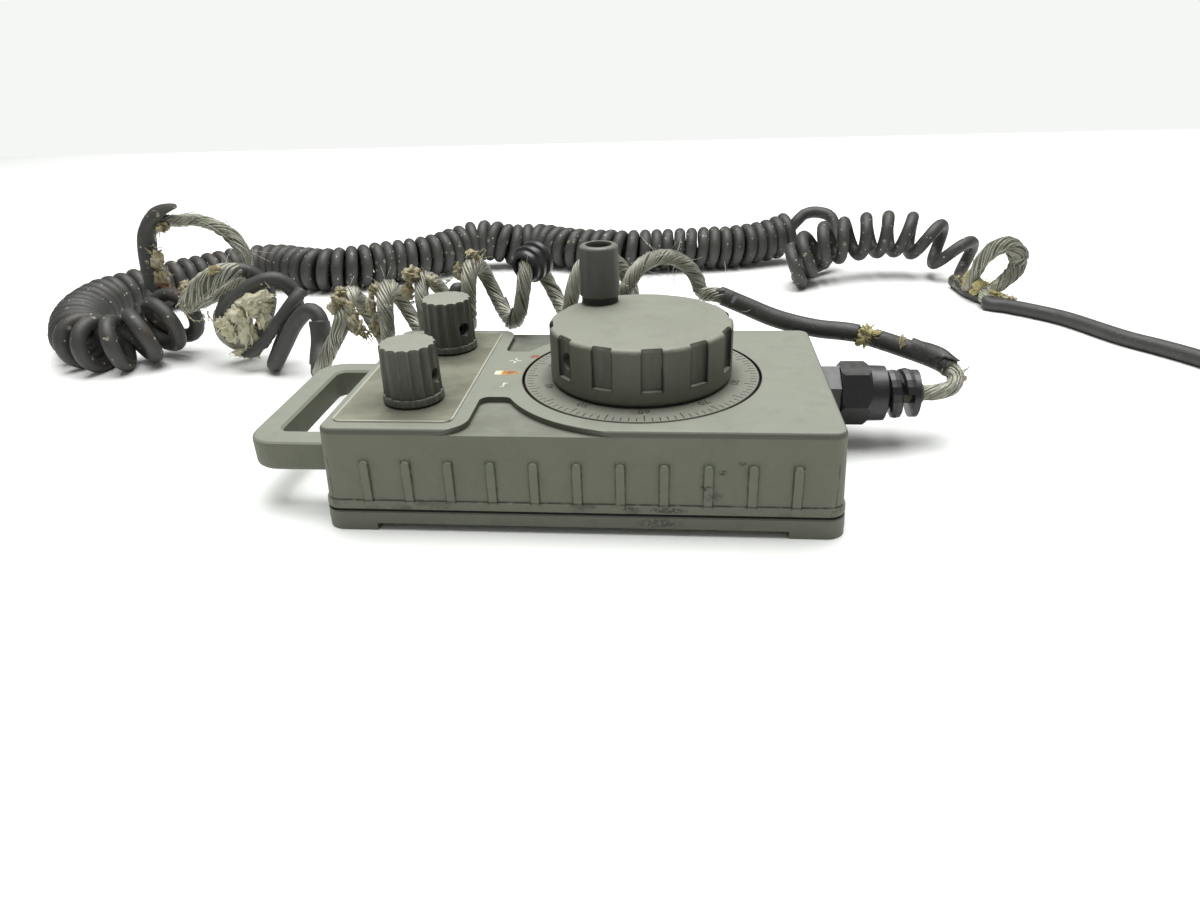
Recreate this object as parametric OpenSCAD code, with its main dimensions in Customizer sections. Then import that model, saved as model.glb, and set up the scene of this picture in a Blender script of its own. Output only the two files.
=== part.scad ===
// Hand-held pulse generator: a moulded case with a graduated handwheel, two selector knobs,
// a carrying loop and a coiled cable. Millimetres, +Z up, standing on z = 0, gland towards +X.

/* [Case] */
// Length of the deck
case_l = 156; // [130:1:190]
// Width of the deck
case_w = 91; // [86:1:112]
// Height of the deck over the table
deck_z = 34; // [33:1:42]
// Thickness of the side walls
wall = 3; // [2.5:0.25:3.75]
// Thickness of the deck
deck_t = 4.5; // [4:0.25:5.5]
// Lean of the walls, in degrees
draft = 2.5; // [1:0.5:3]
// Corner radius of the deck in plan
corner_r = 4; // [3:0.5:8]
// Rounding of the deck's edge
edge_r = 1.2; // [0.5:0.1:2]
// Ribs along each long side
rib_count = 11; // [5:1:13]
// Width of a rib
rib_w = 2.6; // [1.5:0.1:4]
// Height of the rib tops over the table
rib_top = 23.6; // [18:0.2:26]
// How far the band and the ribs stand proud
band_out = 0.5; // [0.3:0.1:1]
// Height of the band's upper step over the table
band_top = 10.1; // [9:0.1:12]

/* [Bottom cover] */
// Height of the cover's underside over the table
foot_h = 2; // [1:0.5:3]
// Height of the cover's edge
cover_h = 4.6; // [4:0.2:6]
// Thickness of the cover's floor
cover_t = 2.5; // [2:0.25:3]
// Thickness of the gasket
gasket_t = 0.8; // [0.5:0.1:1]
// Half the width of a corner foot
foot_r = 7; // [6:0.5:9]
// Distance of feet and cover screws from the deck's outline
foot_inset = 8; // [8:0.5:10]

/* [Carrying loop] */
// How far the loop stands out past the deck's outline
loop_reach = 30.5; // [24:0.5:38]
// Width of the loop
loop_w = 70.8; // [60:0.2:80]
// Thickness of the loop's bars in plan
loop_bar = 8.9; // [6:0.1:12]
// Height of the loop's bars
loop_h = 10.1; // [8:0.1:14]
// Height of the loop's underside over the table
loop_z = 14; // [12:0.5:18]
// Outer corner radius of the loop
loop_r = 10; // [6:0.5:14]

/* [Deck] */
// Depth of the bell-shaped pockets beside the neck
pocket_d = 2; // [1:0.25:2.5]
// Width of the neck between the pockets
neck_w = 41.6; // [30:0.4:50]
// Gap between the dial's rim and the wall around the pockets
pocket_ring = 6.8; // [4:0.2:7]
// Length of the legend plate
plate_l = 37.4; // [34:0.2:42]
// Thickness of the legend plate
plate_t = 0.5; // [0.3:0.1:0.8]
// Bare margin around the legend plate
plate_gap = 3; // [2:0.5:4]

/* [Handwheel] */
// Diameter of the handwheel
wheel_d = 60; // [48:1:62]
// Height of the handwheel's rim
wheel_h = 18.5; // [15:0.1:22]
// Crown of the wheel's top
crown = 1; // [0.5:0.1:2]
// Distance of the wheel's axis from the gland end of the deck
wheel_inset = 60.8; // [52:0.2:66]
// Grip pockets around the rim
grip_pockets = 12; // [8:1:16]
// Width of a grip pocket
grip_pocket_w = 6.5; // [4:0.5:8]
// Depth of a grip pocket
grip_pocket_d = 1.5; // [0.8:0.1:2]
// Width of the dial's visible face
dial_w = 9.2; // [8:0.2:10]
// Radial gap around the dial
dial_gap = 0.6; // [0.4:0.1:1]
// Diameter of the pulse generator's shaft
shaft_d = 6; // [5:0.5:7]
// Radial clearance of the running fits
run_gap = 0.04; // [0.02:0.01:0.08]

/* [Spinner grip] */
// Distance of the grip's axis from the wheel's axis
grip_offset = 23.6; // [17:0.2:24]
// Direction of the grip from the wheel's axis, in degrees
grip_angle = 129; // [0:1:359]
// Diameter at the grip's foot
grip_d = 14; // [12:0.5:16]
// Height of the grip
grip_h = 17.2; // [12:0.2:26]
// Diameter of the open bore in the grip's top
grip_bore = 8.9; // [7.5:0.1:9.5]

/* [Selector knobs] */
// Diameter of a knob's skirt
knob_d = 19.2; // [17.6:0.2:24]
// Height of the knob tops over the deck
knob_h = 19.3; // [17:0.1:24]
// Distance of the knobs' axes from the loop end of the deck
knob_inset = 24.2; // [20:0.2:26]
// Distance between the two knobs' axes
knob_pitch = 47.4; // [42:0.2:52]
// Flutes around a knob
flutes = 16; // [10:1:20]
// Where the axis knob stands, in degrees from the gland end
axis_turn = -6; // [-45:1:45]
// Where the scale knob stands, in degrees from the gland end
scale_turn = -32; // [-45:1:45]

/* [Cable gland] */
// Distance of the gland from the case's centre line
gland_y = 20; // [16:0.5:22]
// Height of the gland's axis over the table
gland_z = 19; // [18:0.5:21]
// Width across flats of the gland's nut
gland_af = 19.7; // [18:0.1:22]
// Diameter of the cable
cable_d = 7; // [6:0.1:7.4]
// Turns of the bend protector
spiral_turns = 1.2; // [1:0.1:1.6]

/* [Hidden] */
$fn = 96;

grey = "#6b6e66";
dark = "#2b2c2d";
steel = "#b7b8b4";
brass = "#b99a4b";
green = "#3f6b4a";

// --- levels and places, from the driving sizes
cover_top = foot_h + cover_h;
case_z = cover_top + gasket_t;
deck_under = deck_z - deck_t;
foot_x = case_l / 2 - foot_inset;
foot_y = case_w / 2 - foot_inset;
wheel_x = case_l / 2 - wheel_inset;
knob_x = -case_l / 2 + knob_inset;
wheel_r = wheel_d / 2;
dial_r = wheel_r + dial_w;
dial_t = 2;
dial_rise = 0.6;
recess_z = deck_z - dial_t - dial_rise;
wheel_z = deck_z + 0.4;
rim_top = wheel_z + wheel_h;
shaft_r = shaft_d / 2;
plate_z = deck_z + plate_t;
boss_r = 4.5;
slack = 0.05;
pocket_x0 = -case_l / 2 + plate_gap + plate_l + 4.6;
neck_r = 8;
bushing_r = 4.5;

// --- the gland's stations along its axis
gland_pad_r = 11;
gland_thread_r = 7.5;
sleeve_r = 8;
gland_face = case_l / 2 + lean(gland_z - gland_pad_r);
gland_hex_end = gland_face + 6.9;
gland_nut_end = gland_hex_end + 0.3 + 10.3;
gland_cone_end = gland_nut_end + 7.4;
gland_tip = gland_cone_end + 11.5;
spiral_end = gland_tip - 2;
gland_bore = cable_d / 2 + 0.2;
loop_end = -case_l / 2 - loop_reach;
// The origin is the middle of the whole length, loop and gland included.
case_x = -(gland_tip + loop_end) / 2;

// --- the cable's routes, in the part's own frame
coil_r = 13;
bare_coil_r = 14;
lead_route = [[112, 20, 19], [118.5, 20, 20], [124, 22, 21.5], [126, 27, 24], [121, 32, 26.5],
    [107, 36.5, 30.5], [91.5, 42, 33.8], [78, 48, 33.7], [63.5, 51, 36.5], [50, 53, 41.7],
    [42, 53.5, 45]];
bare_coil_route = [[42, 53.5, 48.5], [20, 53.2, 49], [-5, 53.2, 48.7], [-31, 53.5, 47.8],
    [-52, 55.5, 45.6], [-73, 60, 39.5], [-90, 62, 35], [-108, 65, 32]];
torn_coil_route = [[-108, 65, 32], [-122, 71, 25], [-136, 77, 19], [-150, 84, 15], [-165, 92, 14]];
torn_loop_route = [[-165, 92, 14], [-176, 101, 20], [-183, 113, 31], [-185, 123, 44],
    [-192, 125, 57], [-203, 125, 62], [-214, 125, 64], [-224, 125, 62], [-231, 125, 52],
    [-233, 125, 38], [-229, 123, 26], [-219, 118, 20]];
coil_left_route = [[-219, 118, 20], [-221, 107, 18], [-226, 97, 15.5], [-234, 90, 13.5],
    [-244, 88, 13], [-255, 92, 13], [-267, 103, 13], [-278, 117, 13], [-287, 131, 13],
    [-293, 146, 13], [-295, 160, 13], [-291, 173, 13], [-284, 183, 13], [-275, 192, 13],
    [-268, 204, 13]];
coil_back_route = [[-268, 204, 13], [-258, 216, 13], [-249, 228, 13], [-237, 235, 13],
    [-222, 234, 13], [-204, 226, 13], [-190, 221, 13], [-172, 225, 13], [-154, 238, 13],
    [-136, 249, 13], [-123, 260, 14], [-113, 270, 16], [-104, 275, 17.5], [-94, 276, 17],
    [-85, 276, 15], [-77, 278, 14], [-68, 280, 14]];
coil_right_route = [[-68, 280, 14], [-57, 277, 13.5], [-43, 270, 13], [-26, 265, 13],
    [-8, 261, 13], [12, 264, 13], [35, 267, 13], [58, 271, 13], [76, 278, 14], [92, 284, 17],
    [103, 286, 22]];
second_coil_route = [[95, 228, 14], [103, 238, 16], [112, 244, 18], [122, 248, 20], [135, 252, 22],
    [147, 252, 23], [159, 251, 22], [169, 246, 20], [179, 237, 17], [185, 222, 14], [187, 208, 13]];
coil_link_route = [[103, 286, 22], [111, 285, 31], [119, 275, 32], [120, 261, 25], [113, 247, 17],
    [103, 236, 13], [95, 228, 14]];
bare_loop_route = [[187, 208, 9], [186, 200, 8], [187, 195, 15], [189, 193, 24], [194, 191, 30],
    [202, 191, 30], [206, 190, 24], [204, 189, 17], [197, 188, 10], [189, 186, 5], [188, 180, 3.5]];
tail_route = [[188, 180, 3.5], [196, 171, 3.5], [207, 158, 3.5], [219, 142, 3.5], [230, 126, 3.5],
    [241, 111, 3.5], [250, 97, 3.5], [256, 83, 3.5], [258, 70, 3.5], [258, 60, 3.5]];
plug_lead_route = [[258, 60, 10.5], [258, 44, 10.5], [258, 30, 9.5], [258, 16, 8], [258, 4, 7.5],
    [258, -20, 7.5]];
grommet_place = [-30.5, 52, 58.5];
stored_x = 300;
stored_y = 60;
stored_r = 38.5;
plug_x = 258;
plug_y = 6;
plug_w = 40;
plug_l = 42;
plug_h = 15;

// How far a drafted wall stands out of the deck's outline at height z.
function lean(z) = (deck_z - z) * tan(draft);

// Points of an arc around c from angle a to angle b.
function arc(c, r, a, b, steps = 6) =
    [for (i = [0:steps]) c + r * [cos(a + (b - a) * i / steps), sin(a + (b - a) * i / steps)]];

module at_case() translate([case_x, 0, 0]) children();
module at_wheel() translate([case_x + wheel_x, 0, 0]) children();
module at_knob(side) translate([case_x + knob_x, side * knob_pitch / 2, 0]) children();
module at_grip() at_wheel() rotate(grip_angle) translate([grip_offset, 0, 0]) rotate(-grip_angle) children();
module at_feet() for (x = [-foot_x, foot_x], y = [-foot_y, foot_y]) translate([x, y, 0]) children();
// Children stand on the gland's axis, their +Z along +X of the case.
module on_gland_axis(x) translate([case_x + x, gland_y, gland_z]) rotate([0, 90, 0]) children();

module round_plate(l, w, r) {
    square([l - 2 * r, w], center = true);
    square([l, w - 2 * r], center = true);
    for (x = [r - l / 2, l / 2 - r], y = [r - w / 2, w / 2 - r]) translate([x, y]) circle(r);
}

module ring(z0, z1, r_out, r_in) translate([0, 0, z0]) difference() {
    cylinder(h = z1 - z0, r = r_out);
    translate([0, 0, -1]) cylinder(h = z1 - z0 + 2, r = r_in);
}

module rod(z0, z1, r) translate([0, 0, z0]) cylinder(h = z1 - z0, r = r);

module hexagon(z0, z1, af) translate([0, 0, z0]) cylinder(h = z1 - z0, r = af / sqrt(3), $fn = 6);

// Drafted block with round corners: low edge at z0, top at z1, its edges rounded by lo and hi.
module case_block(z0, z1, grow, lo, hi) hull()
    for (x = [corner_r - case_l / 2, case_l / 2 - corner_r], y = [corner_r - case_w / 2, case_w / 2 - corner_r])
        translate([x, y, 0]) rotate_extrude($fn = 32) polygon(concat([[0, z0]],
            arc([corner_r + grow + lean(z0) - lo, z0 + lo], lo, -90, 0, 3),
            arc([corner_r + grow + lean(z1) - hi, z1 - hi], hi, 0, 90, 3), [[0, z1]]));

// Ribs with round tops, straight through from front to back before the case is hollowed.
module side_ribs() {
    pitch = (case_l - 26.7) / (rib_count - 1);
    reach = case_w / 2 + lean(band_top) + band_out;
    for (k = [0:rib_count - 1]) translate([(k - (rib_count - 1) / 2) * pitch, reach, 0])
        rotate([90, 0, 0]) linear_extrude(2 * reach) {
            translate([-rib_w / 2, case_z + 1]) square([rib_w, rib_top - rib_w / 2 - case_z - 1]);
            translate([0, rib_top - rib_w / 2]) circle(rib_w / 2);
        }
}

// Carrying loop, cut from a slab whose long edges are rounded; its inner end is buried in the wall.
module carrying_loop() {
    slab_l = loop_reach + wall - 0.5;
    slot_l = loop_reach - loop_bar + 8;
    slot_w = loop_w - 2 * loop_bar;
    slot_r = 3.5;
    flare = 0.8;
    edge = 1.4;
    difference() {
        hull() for (x = [0, slab_l], y = [-1, 1])
            translate([loop_end + (x == 0 ? loop_r : slab_l - 1),
                y * (loop_w / 2 - (x == 0 ? loop_r : 1.5)), loop_z])
                rotate_extrude($fn = 32) polygon(concat([[0, 0]],
                    arc([(x == 0 ? loop_r : 1.5) - edge, edge], edge, -90, 0, 3),
                    arc([(x == 0 ? loop_r : 1.5) - edge, loop_h - edge], edge, 0, 90, 3), [[0, loop_h]]));
        translate([loop_end + loop_bar + slot_l / 2, 0, loop_z - 1])
            linear_extrude(loop_h + 2) round_plate(slot_l, slot_w, slot_r);
        for (top = [0, 1]) hull() for (step = [0, 1])
            translate([loop_end + loop_bar + slot_l / 2, 0,
                loop_z + top * loop_h + (top == 1 ? -1 : 1) * (step == 0 ? -0.01 : flare)])
                linear_extrude(0.01) offset(step == 0 ? flare : 0)
                    round_plate(slot_l, slot_w, slot_r, $fn = 32);
    }
}

// Outline of the pocket on the front side, wheel axis at x = wheel_x; it runs out over the edge.
module bell_outline() {
    mouth_r = 8;
    inner_r = 3;
    edge_y = -case_w / 2;
    offset(r = inner_r, $fn = 40) offset(delta = -inner_r) difference() {
        translate([pocket_x0, edge_y - 20]) square([wheel_x - pocket_x0, 20 - edge_y - neck_w / 2]);
        translate([wheel_x, 0]) circle(dial_r + pocket_ring, $fn = 120);
    }
    translate([pocket_x0 - mouth_r, edge_y - 1]) difference() {
        square([mouth_r + 1, mouth_r + 1]);
        translate([0, mouth_r + 1]) circle(mouth_r, $fn = 60);
    }
}

module upper_case() color(grey) at_case() difference() {
    union() {
        difference() {
            union() {
                case_block(case_z, deck_z, 0, 0.2, edge_r);
                case_block(case_z, band_top, band_out, 0.2, 0.3);
                side_ribs();
                carrying_loop();
                translate([case_l / 2 - wall, gland_y, gland_z]) rotate([0, 90, 0])
                    cylinder(h = gland_face - case_l / 2 + wall, r = gland_pad_r);
            }
            translate([0, 0, case_z - 1]) linear_extrude(deck_under - case_z + 1)
                round_plate(case_l - 2 * wall, case_w - 2 * wall, corner_r);
        }
        at_feet() rod(case_z, deck_under + 1, boss_r);
    }
    for (side = [-1, 1]) scale([1, side, 1]) translate([0, 0, deck_z - pocket_d])
        linear_extrude(pocket_d + 1) bell_outline();
    translate([wheel_x, 0, 0]) {
        rod(recess_z, deck_z + 1, dial_r + dial_gap);
        rod(deck_under - 1, recess_z + 1, neck_r + slack);
        encoder_bolts() {
            rod(deck_under - 1, recess_z + 1, 1.6);
            translate([0, 0, recess_z - 1.2]) cylinder(h = 1.3, r1 = 1.6, r2 = 2.9);
        }
    }
    for (side = [-1, 1]) translate([knob_x, side * knob_pitch / 2, 0])
        rod(deck_under - 1, deck_z + 1, bushing_r + slack);
    translate([case_l / 2 - wall - 1, gland_y, gland_z]) rotate([0, 90, 0])
        cylinder(h = gland_face - case_l / 2 + wall + 2, r = gland_thread_r + slack);
    translate([gland_face, gland_y, gland_z]) rotate([0, 90, 0])
        cylinder(h = band_out + lean(gland_z), r = gland_pad_r);
    at_feet() rod(case_z - 1, case_z + 14, 1.3 + slack);
}

// Four square feet, their outer corners flush with the cover.
module foot_outlines() intersection() {
    round_plate(case_l + 2 * (lean(foot_h) + band_out), case_w + 2 * (lean(foot_h) + band_out),
        corner_r + lean(foot_h) + band_out);
    for (x = [-1, 1], y = [-1, 1]) translate([x * (foot_x + foot_inset), y * (foot_y + foot_inset)])
        round_plate(2 * (foot_r + foot_inset), 2 * (foot_r + foot_inset), 3);
}

module bottom_cover() color(grey) at_case() difference() {
    union() {
        difference() {
            case_block(foot_h, cover_top, band_out, 1, 0.2);
            translate([0, 0, foot_h + cover_t]) linear_extrude(cover_h)
                round_plate(case_l - 2 * wall, case_w - 2 * wall, corner_r);
        }
        at_feet() rod(foot_h + cover_t - 1, case_z, boss_r);
        linear_extrude(foot_h + 1) foot_outlines();
        board_posts() rod(foot_h + cover_t - 1, board_z, 2.5);
    }
    at_feet() {
        rod(-1, case_z + 1, 1.6);
        rod(-1, foot_h + cover_t - 1.2, 3.4);
    }
}

module cover_gasket() color(dark) at_case() translate([0, 0, cover_top]) linear_extrude(gasket_t)
    difference() {
        round_plate(case_l + 2 * lean(cover_top) - 0.4, case_w + 2 * lean(cover_top) - 0.4, corner_r + 0.8);
        round_plate(case_l - 2 * wall, case_w - 2 * wall, corner_r);
        for (x = [-foot_x, foot_x], y = [-foot_y, foot_y]) translate([x, y]) circle(boss_r + slack);
    }

module cover_screws() color(steel) at_case() at_feet() difference() {
    union() {
        rod(foot_h + cover_t - 1.2, case_z + 12, 1.3);
        rod(foot_h + cover_t - 3.4, foot_h + cover_t - 1.2, 2.9);
    }
    rod(foot_h + cover_t - 4, foot_h + cover_t - 2, 1.3, $fn = 6);
}

module legend_plate() color(steel) at_case() translate([0, 0, deck_z]) linear_extrude(plate_t)
    difference() {
        translate([-case_l / 2 + plate_gap + plate_l / 2, 0])
            round_plate(plate_l, case_w - 2 * plate_gap - 3.2, 3);
        for (side = [-1, 1]) translate([knob_x, side * knob_pitch / 2]) circle(bushing_r + slack);
    }

// --- rotary switches and their knobs
switch_r = 12;
switch_z = deck_under - 14.5;
washer_t = 0.6;
nut_t = 2.4;
bushing_top = plate_z + washer_t + nut_t + 0.5;
knob_z = plate_z + 0.5;
knob_top = deck_z + knob_h;
set_screw_z = deck_z + 9;
flat_x = 2;

module switch_body(side) color("#3a4a42") at_knob(side) difference() {
    union() {
        rod(switch_z, deck_under, switch_r);
        rod(deck_under, bushing_top, bushing_r);
        for (k = [0:7]) rotate(45 * k) translate([9, 0, 0]) rod(switch_z - 3, switch_z, 0.6, $fn = 24);
    }
    rod(switch_z + 5, bushing_top + 1, shaft_r + run_gap);
}

module switch_shaft(side, turn) color(steel) at_knob(side) rotate(turn) difference() {
    rod(switch_z + 5.3, knob_top - 4, shaft_r);
    translate([flat_x, -shaft_r, bushing_top + 1]) cube([shaft_r, shaft_d, knob_top]);
}

module switch_washers() color(steel) for (side = [-1, 1]) at_knob(side)
    ring(plate_z, plate_z + washer_t, 7, bushing_r + slack);

module switch_nuts() color(steel) for (side = [-1, 1]) at_knob(side) difference() {
    hexagon(plate_z + washer_t, plate_z + washer_t + nut_t, 11.5);
    rod(plate_z, bushing_top + 1, bushing_r + slack);
}

// Fluted knob: a flared skirt, a slightly tapered barrel and a flat top with a small edge.
module knob(side, turn) color(grey) at_knob(side) rotate(turn) difference() {
    skirt_r = knob_d / 2;
    top_r = skirt_r - 0.8;
    flute_d = 0.7;
    flute_r = 2.2;
    rotate_extrude() polygon(concat([[0, knob_z], [skirt_r - 0.3, knob_z], [skirt_r, knob_z + 0.4],
        [skirt_r - 0.1, knob_z + 1.4], [skirt_r - 0.5, knob_z + 3]],
        arc([top_r - 0.5, knob_top - 0.5], 0.5, 0, 90), [[0, knob_top]]));
    rod(knob_z - 1, bushing_top + 0.3, skirt_r - 2.3);
    rod(knob_z, knob_top - 3, shaft_r + slack);
    translate([0, 0, set_screw_z]) rotate([0, 90, 0]) cylinder(h = skirt_r + 1, r = 2.4);
    for (k = [0:flutes - 1]) rotate(360 / flutes * (k + 0.5))
        translate([top_r - flute_d + flute_r, 0, knob_z + 2.2])
            cylinder(h = knob_top, r = flute_r, $fn = 40);
}

module knob_screw(side, turn) color(dark) at_knob(side) rotate(turn)
    translate([flat_x, 0, set_screw_z]) rotate([0, 90, 0]) difference() {
        cylinder(h = 4.5, r = 2.35);
        translate([0, 0, 2]) cylinder(h = 3, r = 1, $fn = 6);
    }

// --- pulse generator under the deck
housing_r = 28;
housing_h = 17.5;
cap_t = 1.7;
housing_z = deck_under - housing_h;
cap_z = housing_z - cap_t;
top_wall = 3;
bearing_r = 6.5;
bearing_t = 3.5;
disc_z = housing_z + 6;
click_z = deck_under - top_wall - 4.3;
click_r = 14;
ball_r = 1.2;

module encoder_bolts() for (k = [0:2]) rotate(120 * k + 30) translate([22, 0, 0]) children();

module encoder_housing() color(dark) at_wheel() difference() {
    union() {
        difference() {
            rod(housing_z, deck_under, housing_r);
            rod(housing_z - 1, deck_under - top_wall, housing_r - 2.5);
        }
        rod(deck_under - 1, recess_z - 0.2, neck_r);
        translate([-housing_r + 2, -3, click_z - 1])
            cube([housing_r - 2 - click_r - 1.6, 6, deck_under - click_z]);
    }
    rod(deck_under - top_wall - 1, deck_under, bearing_r - 1.5);
    rod(recess_z - 0.2 - bearing_t, recess_z, bearing_r);
    encoder_bolts() rod(deck_under - top_wall - 1, deck_under + 1, 1.2 + slack);
    translate([-housing_r + 3.2, 0, click_z + 1.5]) rotate([0, 90, 0])
        cylinder(h = housing_r - click_r, r = ball_r + slack);
}

module encoder_cap() color(dark) at_wheel() difference() {
    union() {
        rod(cap_z, housing_z, housing_r);
        rod(housing_z - 1, cap_z + 1 + bearing_t, bearing_r + 2.5);
        cap_posts() rod(housing_z - 1, housing_z + 2.4, 2);
    }
    rod(cap_z + 1, cap_z + 6, bearing_r);
    rod(cap_z - 1, cap_z + 2, shaft_r + 1);
}
module cap_posts() for (k = [0:2]) rotate(120 * k + 60) translate([21, 0, 0]) children();

module encoder_screws() color(steel) at_wheel() encoder_bolts() difference() {
    union() {
        rod(deck_under - top_wall, recess_z - 1.2, 1.2);
        translate([0, 0, recess_z - 1.25]) cylinder(h = 1.2, r1 = 1.2, r2 = 2.7);
    }
    rod(recess_z - 0.9, recess_z + 1, 0.8, $fn = 6);
}

module bearing_upper() color(steel) at_wheel()
    ring(recess_z - 0.2 - bearing_t, recess_z - 0.2, bearing_r, shaft_r + run_gap);

module bearing_lower() color(steel) at_wheel()
    ring(cap_z + 1, cap_z + 1 + bearing_t, bearing_r, shaft_r + run_gap);

module encoder_board() color(green) at_wheel() ring(housing_z + 2.4, housing_z + 4, housing_r - 3, 11);

module optical_sensor() color(dark) at_wheel() translate([15, -4, housing_z + 4]) difference() {
    cube([9.5, 8, 5.4]);
    translate([-1, -1, disc_z - housing_z - 4.5]) cube([8, 10, 1.8]);
}

module code_disc() color("#9aa3a6") at_wheel() difference() {
    union() {
        rod(disc_z, disc_z + 0.8, 21);
        rod(disc_z - 2, disc_z + 3, 6);
    }
    rod(disc_z - 3, disc_z + 4, shaft_r + 0.02);
}

// Detent wheel with one notch for each of the dial's hundred divisions.
module click_wheel() color(brass) at_wheel() difference() {
    translate([0, 0, click_z]) linear_extrude(3)
        polygon([for (k = [0:199]) (k % 2 == 0 ? click_r : click_r - 0.4) * [cos(1.8 * k), sin(1.8 * k)]]);
    rod(click_z - 1, click_z + 4, shaft_r + 0.02);
}

module click_ball() color(steel) at_wheel()
    translate([-click_r - slack - ball_r, 0, click_z + 1.5]) sphere(ball_r);

module click_spring() color(steel) at_wheel() translate([-housing_r + 3.2, 0, click_z + 1.5])
    rotate([0, 90, 0]) ring(0, housing_r - 3.2 - click_r - slack - 2 * ball_r, ball_r, 0.7);

module encoder_shaft() color(steel) at_wheel() difference() {
    rod(cap_z + 1.2, rim_top - 4, shaft_r);
    rotate(wheel_screw_angle) translate([flat_x, -shaft_r, deck_z + 3]) cube([shaft_r, shaft_d, rim_top]);
}

// --- handwheel
first_pocket = -81;
wheel_screw_angle = first_pocket + 360 / grip_pockets * round(300 / (360 / grip_pockets));
wheel_screw_z = wheel_z + 10.6;
pocket_floor_z = wheel_z + 5.1;
hub_r = 8.5;

// Deep cup with a crowned top, a rolled lower edge, a hub and one rib that holds the set screw.
module handwheel() color(grey) at_wheel() difference() {
    union() {
        rotate_extrude() polygon(concat([[wheel_r - 3.5, wheel_z + 0.6], [wheel_r - 2.6, wheel_z]],
            arc([wheel_r - 1.6, wheel_z + 1.6], 1.6, -75, 0), arc([wheel_r - 1.5, rim_top - 1.5], 1.5, 0, 86),
            [for (i = [1:8]) [(wheel_r - 1.5) * (1 - i / 8), rim_top + crown * (1 - pow(1 - i / 8, 2))]],
            [[0, deck_z], [hub_r, deck_z], [hub_r, rim_top - 5], [wheel_r - 3.5, rim_top - 5]]));
        rotate(wheel_screw_angle) translate([hub_r - 1, -4, wheel_screw_z - 5])
            cube([wheel_r - hub_r - 2, 8, rim_top - 4 - wheel_screw_z + 5]);
        rotate(grip_angle) translate([grip_offset, 0, 0]) {
            rod(rim_top - 8, rim_top - 4, 5);
            rod(rim_top - 2, grip_seat, washer_r + 0.1);
        }
    }
    for (k = [0:grip_pockets - 1]) rotate(first_pocket + 360 / grip_pockets * k)
        translate([0, 0, pocket_floor_z])
        linear_extrude(wheel_h) {
            translate([wheel_r - grip_pocket_d, -grip_pocket_w / 2 + 0.6]) square([4, grip_pocket_w - 1.2]);
            translate([wheel_r - grip_pocket_d + 0.6, -grip_pocket_w / 2]) square([4, grip_pocket_w]);
            for (y = [-1, 1])
                translate([wheel_r - grip_pocket_d + 0.6, y * (grip_pocket_w / 2 - 0.6)]) circle(0.6);
        }
    rod(deck_z - 1, rim_top - 3.5, shaft_r + 0.02);
    rotate(wheel_screw_angle) translate([0, 0, wheel_screw_z]) rotate([0, 90, 0])
        cylinder(h = wheel_r + 1, r = 2.8);
    rotate(grip_angle) translate([grip_offset, 0, 0]) rod(rim_top - 9, grip_seat + 1, stud_r + 0.02);
    dial_bolts() rod(deck_z - 1, deck_z + 6, 0.95 + slack);
}

module dial_bolts() for (k = [0:2]) rotate(120 * k) translate([5.6, 0, 0]) children();

module dial_ring() color(grey) at_wheel() difference() {
    rotate_extrude() polygon([[0, recess_z + dial_rise], [dial_r - 0.3, recess_z + dial_rise],
        [dial_r, recess_z + dial_rise + 0.3], [dial_r, deck_z - 0.3], [dial_r - 0.3, deck_z], [0, deck_z]]);
    rod(recess_z, deck_z + 1, shaft_r + 0.02);
    dial_bolts() {
        rod(recess_z, deck_z + 1, 1.1);
        rod(recess_z, recess_z + dial_rise + 1.1, 1.8);
    }
}

module dial_screws() color(steel) at_wheel() dial_bolts() {
    rod(recess_z + dial_rise + 1.1, deck_z + 5, 0.95);
    rod(recess_z + dial_rise + 0.1, recess_z + dial_rise + 1.1, 1.7);
}

module wheel_set_screw() color(dark) at_wheel() rotate(wheel_screw_angle)
    translate([flat_x, 0, wheel_screw_z]) rotate([0, 90, 0]) difference() {
        cylinder(h = 8, r = 2.75);
        translate([0, 0, 5]) cylinder(h = 4, r = 1.1, $fn = 6);
    }

// --- spinner grip on its shoulder screw
washer_r = 6.25;
washer_h = 2.2;
stud_r = 2.5;
shoulder_r = 3;
grip_seat = rim_top + crown * (1 - pow((grip_offset - washer_r) / (wheel_r - 1.5), 2)) + 0.1;
grip_z = grip_seat + washer_h + 0.1;
grip_ledge = grip_z + grip_h * 0.45;

module grip_washer() color(dark) at_grip() ring(grip_seat, grip_seat + washer_h, washer_r, stud_r + 0.02);

module spinner_grip() color(dark) at_grip() difference() {
    rotate_extrude() polygon(concat([[0, grip_z], [grip_d / 2 - 0.4, grip_z], [grip_d / 2, grip_z + 0.5]],
        arc([grip_d / 2 - 1.45, grip_z + grip_h - 1], 1, 0, 90), [[0, grip_z + grip_h]]));
    rod(grip_z - 1, grip_z + grip_h, shoulder_r + run_gap);
    rod(grip_ledge, grip_z + grip_h + 1, grip_bore / 2);
}

module grip_screw() color(steel) at_grip() difference() {
    union() {
        rod(rim_top - 7.5, grip_seat + washer_h, stud_r);
        rod(grip_seat + washer_h, grip_ledge + 0.15, shoulder_r);
        rod(grip_ledge + 0.15, grip_ledge + 2.6, grip_bore / 2 - 0.4);
    }
    rod(grip_ledge + 1.2, grip_ledge + 4, 1.6, $fn = 6);
}

// --- wiring inside the case
board_z = 9.6;
board_l = 20;
board_x = case_l / 2 - wall - 6 - board_l;
board_y = -28;

module board_posts() for (x = [3, board_l - 3], y = [3, 33])
    translate([board_x + x, board_y + y, 0]) children();

module wiring_board() color(green) at_case() translate([board_x, board_y, board_z]) cube([board_l, 36, 1.6]);

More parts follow.
